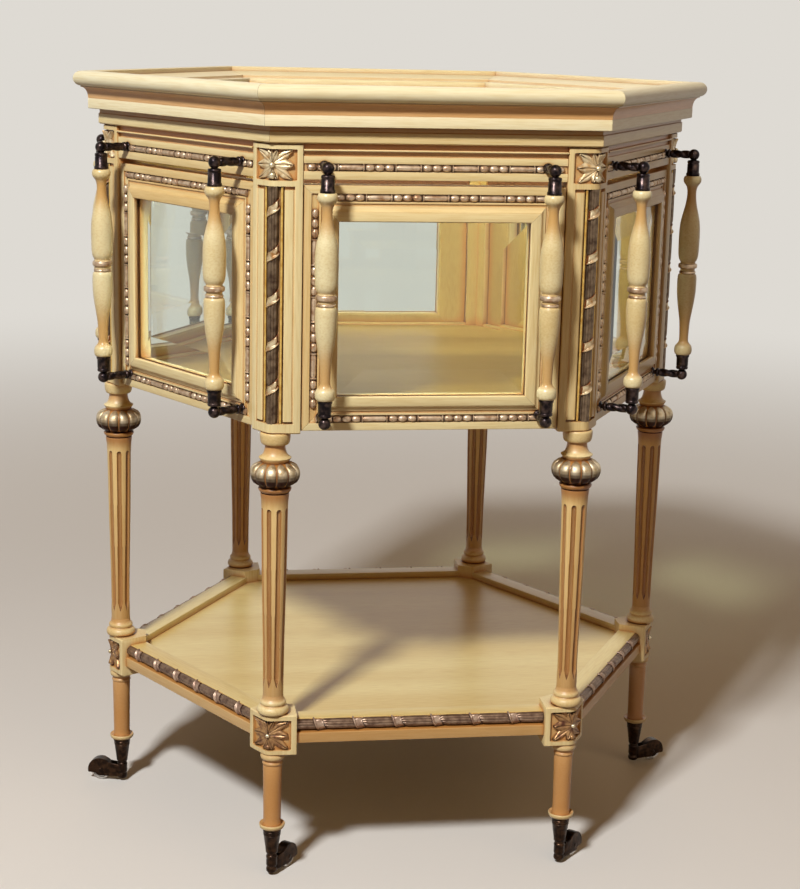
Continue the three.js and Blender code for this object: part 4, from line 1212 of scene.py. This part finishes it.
def spindle_wood():
    """Two bellies and two necks of unlike length, with a groove on each side of the gilt ring."""
    lower = smooth_profile([
        (7.8, 485.1), (8.6, 486.2), (9.2, 488), (9.3, 491), (8.6, 494.2), (6.6, 496.6), (5.1, 499),
        (4.75, 503), (5.05, 512.4), (5.7, 521.7), (7.1, 531), (8.5, 540), (9.6, 549.5), (9.95, 556),
        (10.05, 562), (9.85, 568), (9.3, 570.4),
    ])
    upper = smooth_profile([
        (8.4, 584.8), (9.6, 587.2), (10.4, 591.3), (10.7, 596.7), (10.85, 605.7), (10.85, 613.7),
        (10.4, 621.7), (9.6, 627.7), (8.5, 632.7), (7.3, 637.7), (6.2, 642.2), (5.5, 646.2),
        (4.9, 650.7), (4.65, 655.7), (4.9, 659.2), (5.8, 662.7), (7.4, 665), (8.9, 667.2),
        (9.3, 669.7), (8.9, 672), (7.8, 673.7),
    ])
    grooves = [(8.0, 571.4), (7.6, 574.8), (7.6, 577), (8.6, 577.6), (8.6, 581.8), (7.8, 582.6),
               (7.8, 584)]
    return turning([*lower, *grooves, *upper], 40)


def spindle_rings():
    """A gilt ring at the waist with a small gilt bead under it."""
    ring = [(8.2, 577.2), (9.3, 577.5), (9.8, 578.4), (9.9, 579.7), (9.8, 581), (9.3, 581.9),
            (8.2, 582.2)]
    bead = [(7.4, 571.5), (8.3, 571.8), (8.7, 572.9), (8.3, 574.1), (7.4, 574.4)]
    return join_shapes(turning(ring, 40), turning(bead, 40))


def cap_and_ball(height, sign):
    """The ball of a bracket and the turned cap that holds the end of the spindle."""
    profile = [
        *arc(0, 0, BALL_RADIUS, -88, 60, 10), (3.4, 5.4), (5.4, 5.8), (6.2, 6.4),
        (CAP_RADIUS, 7.2), (CAP_RADIUS, 8.4), (5.9, 8.8), (5.9, 9.4), (CAP_RADIUS - 0.1, 9.8),
        (CAP_RADIUS, 18.6), (6.9, 19.0), (7.1, 20.2), (6.9, 21.6), (6.0, 22.0),
    ]
    return turning([(radius, height + sign * z) for radius, z in profile][::sign], 28)


def rope_arm(wall):
    """A twisted bar from the ball to a turned stub and rose at the wall, along Y."""
    def twist(angle, along, radius):
        start = BALL_RADIUS - 1
        if not start < along < ROPE_END:
            return radius
        ease = min(1.0, (along - start) / 1.5, (ROPE_END - along) / 1.5)
        strand = angle - math.pi * along / ROPE_TURN + math.pi / 4
        return radius - ease * 1.1 * (1 - abs(math.cos(strand)) ** 0.7)

    reach = SPINDLE_AXIS - wall
    profile = [
        (2.5, 3.5), *((ROPE_RADIUS, BALL_RADIUS - 0.6 + 0.5 * i) for i in range(38)),
        (3.2, 24.6), (4.4, 25.2), (4.6, 26.4), (4.2, 27.6), (2.4, 28.2), (2.2, reach - 2.2),
        (3.4, reach - 2.0), (4.6, reach - 1.4), (4.8, reach - 0.4),
    ]
    return moved(turning(profile, 28, twist), Matrix.Rotation(-math.pi / 2, 4, "X"))


def brackets():
    low = moved(rope_arm(PANEL_FACE), Matrix.Translation((0, 0, BRACKET_LOW)))
    high = moved(rope_arm(FRIEZE_FACE), Matrix.Translation((0, 0, BRACKET_HIGH)))
    return join_shapes(low, high, cap_and_ball(BRACKET_LOW, 1), cap_and_ball(BRACKET_HIGH, -1))


wood_mesh = build_mesh("spindle_wood", spindle_wood(), spindle_paint)
ring_mesh = build_mesh("spindle_rings", spindle_rings(), bead_gilt)
bracket_mesh = build_mesh("spindle_brackets", brackets(), bracket_metal)
for number, side in enumerate(FACES):
    for letter, along in (("a", -SPINDLE_ALONG), ("b", SPINDLE_ALONG)):
        end = f"{side}_{letter}"
        spot = Matrix.Translation((along * MM, -SPINDLE_AXIS * MM, 0))
        place_piece(f"spindle_wood_{end}", wood_mesh, [f"spindle_{end}"], number, spot)
        place_piece(f"spindle_rings_{end}", ring_mesh, (), number, spot)
        place_piece(
            f"spindle_brackets_{end}", bracket_mesh, (), number, spot
        )


# Castors

TRAIL = 24
# How far round from straight outward each horn trails, as a share of a turn
TRAIL_TURN_SHARES = {
    "right": 0.05, "back_right": 0.3, "back_left": 0.36, "left": 0.45, "front_left": 0.14,
    "front_right": 0.13,
}
CHEEK = 1.4
SLOT_HALF = 3.75
HOOD_OUTER = 13.9
HOOD_INNER = 12.3


def castor_cup():
    """The brass socket: a tapered cup with fine rings under its rolled rim."""
    return turning([
        (2.6, 22.8), (5.4, 23.5), (5.9, 24.1), (6.0, 26), (8.2, 42.4), (8.5, 42.8), (8.2, 43.3),
        (8.5, 43.8), (8.6, 44.8), (8.3, 45.3), (8.7, 45.8), (8.8, 46.8), (8.5, 47.2), (9.0, 47.7),
        (9.2, 48.6), (9.0, 49.5), (7.4, 49.7),
    ], 40)


def castor_horn():
    """A hooded horn: slim boss with a ball end, two cheeks beside the wheel and a hood over it,
    drawn with the wheel out along +X."""
    boss = turning([
        (3.5, 3.6), (4.6, 3.7), (5.2, 4.6), (5.5, 6.2), (5.2, 8.2), (4.6, 9.2), (4.8, 9.8),
        (5.3, 10.6), (5.5, 12), (5.4, 18.4), (5.6, 19.0), (5.6, 20.2), (5.2, 20.8), (4.7, 21.4),
        (5.0, 22.2), (4.6, 23.1),
    ], 36)
    cheek = soften([
        (2, 19), (2, 5.5), *arc(TRAIL, AXLE, 6.4, -105, -30, 7),
        *arc(TRAIL, AXLE, HOOD_OUTER, -12, 105, 18), (14, 20.5),
    ], 1.5, 2)
    eased = [(x + (TRAIL - x) * 0.03, z + (AXLE - z) * 0.03) for x, z in cheek]
    shapes = [boss]
    for side in (-1, 1):
        near, far = side * SLOT_HALF, side * (SLOT_HALF + CHEEK)
        shapes.append(stacked([
            [(x, y, z) for x, z in outline]
            for outline, y in ((cheek, near), (cheek, far - side * 0.4), (eased, far))
        ]))
        rivet = turning([(2.7, 0), (2.6, 0.7), (2.0, 1.2), (1.1, 1.5)], 20)
        tilt = Matrix.Rotation(-side * math.pi / 2, 4, "X")
        shapes.append(moved(rivet, Matrix.Translation((TRAIL, far - side * 0.9, AXLE)) @ tilt))
    hood = arc(TRAIL, AXLE, HOOD_OUTER, -10, 150, 22) + arc(TRAIL, AXLE, HOOD_INNER, 150, -10, 22)
    shapes.append(stacked([
        [(x, side * (SLOT_HALF + 0.3), z) for x, z in hood] for side in (-1, 1)
    ]))
    return join_shapes(*shapes)


def castor_wheel():
    """A turned wheel with a dished web and a rounded tread."""
    half = [(2.2, -2.9), (4.0, -3.25), (4.6, -2.5), (8.2, -2.3), (9.0, -3.2), (10.3, -3.1),
            (11.0, -2.1)]
    profile = half + [(radius, -across) for radius, across in half[::-1]]
    return moved(turning(profile, 48), Matrix.Rotation(math.pi / 2, 4, "X"))


cup_mesh = build_mesh("castor_cup", castor_cup(), castor_metal, smooth=40)
horn_mesh = build_mesh("castor_horn", castor_horn(), castor_metal, smooth=40)
wheel_mesh = build_mesh("castor_wheel", castor_wheel(), wheel_metal, smooth=40)
for number, corner in enumerate(CORNERS):
    angle = number * SIDE_TURN
    radius = LEG_CIRCLE * MM
    cup = Matrix.Translation((radius * math.cos(angle), radius * math.sin(angle), 0))
    horn = cup @ Matrix.Rotation(2 * math.pi * TRAIL_TURN_SHARES[corner], 4, "Z")
    hub = horn @ Matrix.Translation((TRAIL * MM, 0, AXLE * MM))
    for name, node, body, mesh, spot in (
        ("castor_socket", "castor_cup", "table", cup_mesh, cup),
        ("castor_hood", "castor_horn", f"castor_{corner}", horn_mesh, horn),
        ("castor_tread", "castor_wheel", f"wheel_{corner}", wheel_mesh, hub),
    ):
        place_piece(
            f"{name}_{corner}", mesh, [f"{node}_{corner}"], 0, spot, body
        )


# Hinges, with three countersunk screws in each leaf

HINGE_SPACING = 160
SCREW_PLACES = (-18, 0, 18)
SCREW_FACE = CORNICE_FACE + 1.7
SCREW_HEIGHT = 3.4

# A countersunk brass screw, standing a hair proud of the leaf
screw = turning([(1.9, -0.5), (1.9, 0.06), (1.65, 0.22), (0.3, 0.24)], 24)
screw_mesh = build_mesh("hinge_screw", screw, wheel_metal, smooth=40)
for hinge, offset in (("left", -HINGE_SPACING / 2), ("right", HINGE_SPACING / 2)):
    for leaf in ("case", "lid"):
        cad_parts[f"hinge_{leaf}_leaf_{hinge}"].data.materials[0] = castor_metal
    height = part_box(f"hinge_case_leaf_{hinge}")[0][2] + SCREW_HEIGHT * MM
    for number, along in enumerate(SCREW_PLACES, 1):
        spot = Matrix.Translation(((offset + along) * MM, SCREW_FACE * MM, height))
        turned_out = spot @ Matrix.Rotation(-math.pi / 2, 4, "X")
        place_piece(f"hinge_screw_{hinge}_{number}", screw_mesh, at=turned_out)


# Floor, light and camera

BACKDROP = "#DEDAD3"
FLOOR_REACH = 30
# Name, place, size, power and colour of each lamp; all are aimed at the middle of the table
LAMPS = [
    ("key_lamp", (-1.46, -2.42, 2.99), 0.4, 145, "#FFFFFF"),
    ("fill_lamp", (1.7, -2.4, 2.6), 2.0, 10, "#FFD8A4"),
    ("back_lamp", (0.6, 2.6, 2.4), 1.6, 6, "#FFD9A8"),
]
LAMP_TARGET = Vector((0, 0, 0.45))


def seen_ray(tree):
    """1 for rays that show the background itself: to the camera, in gloss and through glass."""
    path = add(tree, "LightPath")
    seen = path.outputs["Is Camera Ray"]
    for ray in ("Is Glossy Ray", "Is Transmission Ray"):
        seen = add(tree, "Math", {0: seen, 1: path.outputs[ray]}, operation="MAXIMUM")
    return seen


def place_floor():
    """A pale floor that runs into a backdrop of the same colour. It throws less light back up at
    the object than it shows."""
    material, tree = blank_material("pale_studio_floor")
    seen = seen_ray(tree)
    tone = add(tree, "Mix", {"Factor": seen, "A": "#6A5642", "B": "#E4E1DB"}, data_type="RGBA")
    paper = add(tree, "BsdfPrincipled", {"Base Color": tone, "Roughness": 0.8})
    beyond = add(tree, "Emission", {"Color": BACKDROP, "Strength": 1})
    unseen = add(tree, "Emission", {"Color": "#2A2724", "Strength": 1})
    glow = add(tree, "MixShader", {0: seen, 1: unseen, 2: beyond})
    spot = add(tree, "TexCoord").outputs["Object"]
    distance = add(tree, "VectorMath", {0: spot}, operation="LENGTH")
    # The floor's own light and shadow give way to the backdrop between 0.6 and 3.5 m
    share = add(tree, "MapRange", {"Value": distance, "From Min": 0.6, "From Max": 3.5},
                interpolation_type="SMOOTHSTEP")
    surface = add(tree, "MixShader", {0: share, 1: paper, 2: glow})
    add(tree, "OutputMaterial", {"Surface": surface})
    mesh = bpy.data.meshes.new("studio_floor")
    signs = ((-1, -1), (1, -1), (1, 1), (-1, 1))
    corners = [(x * FLOOR_REACH, y * FLOOR_REACH, 0) for x, y in signs]
    mesh.from_pydata(corners, [], [(0, 1, 2, 3)])
    mesh.materials.append(material)
    ground = bpy.data.objects.new("studio_floor", mesh)
    bpy.context.scene.collection.objects.link(ground)


def light_studio():
    """One key lamp high on the left, a weak warm fill and a low warm light all round."""
    world = bpy.data.worlds.new("soft_studio")
    world.use_nodes = True
    bpy.context.scene.world = world
    tree = world.node_tree
    tree.nodes.clear()
    fill = add(tree, "Background", {"Color": "#FFBF7A", "Strength": 0.105})
    backdrop = add(tree, "Background", {"Color": BACKDROP, "Strength": 1})
    surface = add(tree, "MixShader", {0: seen_ray(tree), 1: fill, 2: backdrop})
    add(tree, "OutputWorld", {"Surface": surface})
    for name, place, size, power, colour in LAMPS:
        lamp = bpy.data.lights.new(name, "AREA")
        lamp.size = size
        lamp.energy = power
        lamp.color = linear(colour)[:3]
        holder = bpy.data.objects.new(name, lamp)
        holder.location = place
        holder.rotation_euler = (LAMP_TARGET - Vector(place)).to_track_quat("-Z", "Y").to_euler()
        bpy.context.scene.collection.objects.link(holder)


CAMERA_PLACE = (-287.9, -1977.0, 828.1)
CAMERA_YAW = 0.15014
CAMERA_PITCH = 0.22213
CAMERA_ROLL = 0.02345
FOCAL_PIXELS = 1891.6
PHOTO_HEIGHT = 889
SENSOR = 36


def aim_camera():
    forward = Vector((
        math.sin(CAMERA_YAW) * math.cos(CAMERA_PITCH),
        math.cos(CAMERA_YAW) * math.cos(CAMERA_PITCH),
        -math.sin(CAMERA_PITCH),
    ))
    level = Vector((math.cos(CAMERA_YAW), -math.sin(CAMERA_YAW), 0))
    upright = level.cross(forward)
    across = math.cos(CAMERA_ROLL) * level + math.sin(CAMERA_ROLL) * upright
    up = -math.sin(CAMERA_ROLL) * level + math.cos(CAMERA_ROLL) * upright
    lens = bpy.data.cameras.new("photo_camera")
    lens.sensor_fit = "VERTICAL"
    lens.sensor_height = SENSOR
    lens.lens = FOCAL_PIXELS / PHOTO_HEIGHT * SENSOR
    lens.clip_end = 100
    camera = bpy.data.objects.new("photo_camera", lens)
    place = Matrix.Identity(4)
    for column, axis in enumerate((across, up, -forward, Vector(CAMERA_PLACE) * MM)):
        for row in range(3):
            place[row][column] = axis[row]
    camera.matrix_world = place
    bpy.context.scene.collection.objects.link(camera)
    bpy.context.scene.camera = camera


place_floor()
light_studio()
aim_camera()
bpy.context.scene.view_settings.view_transform = "Standard"
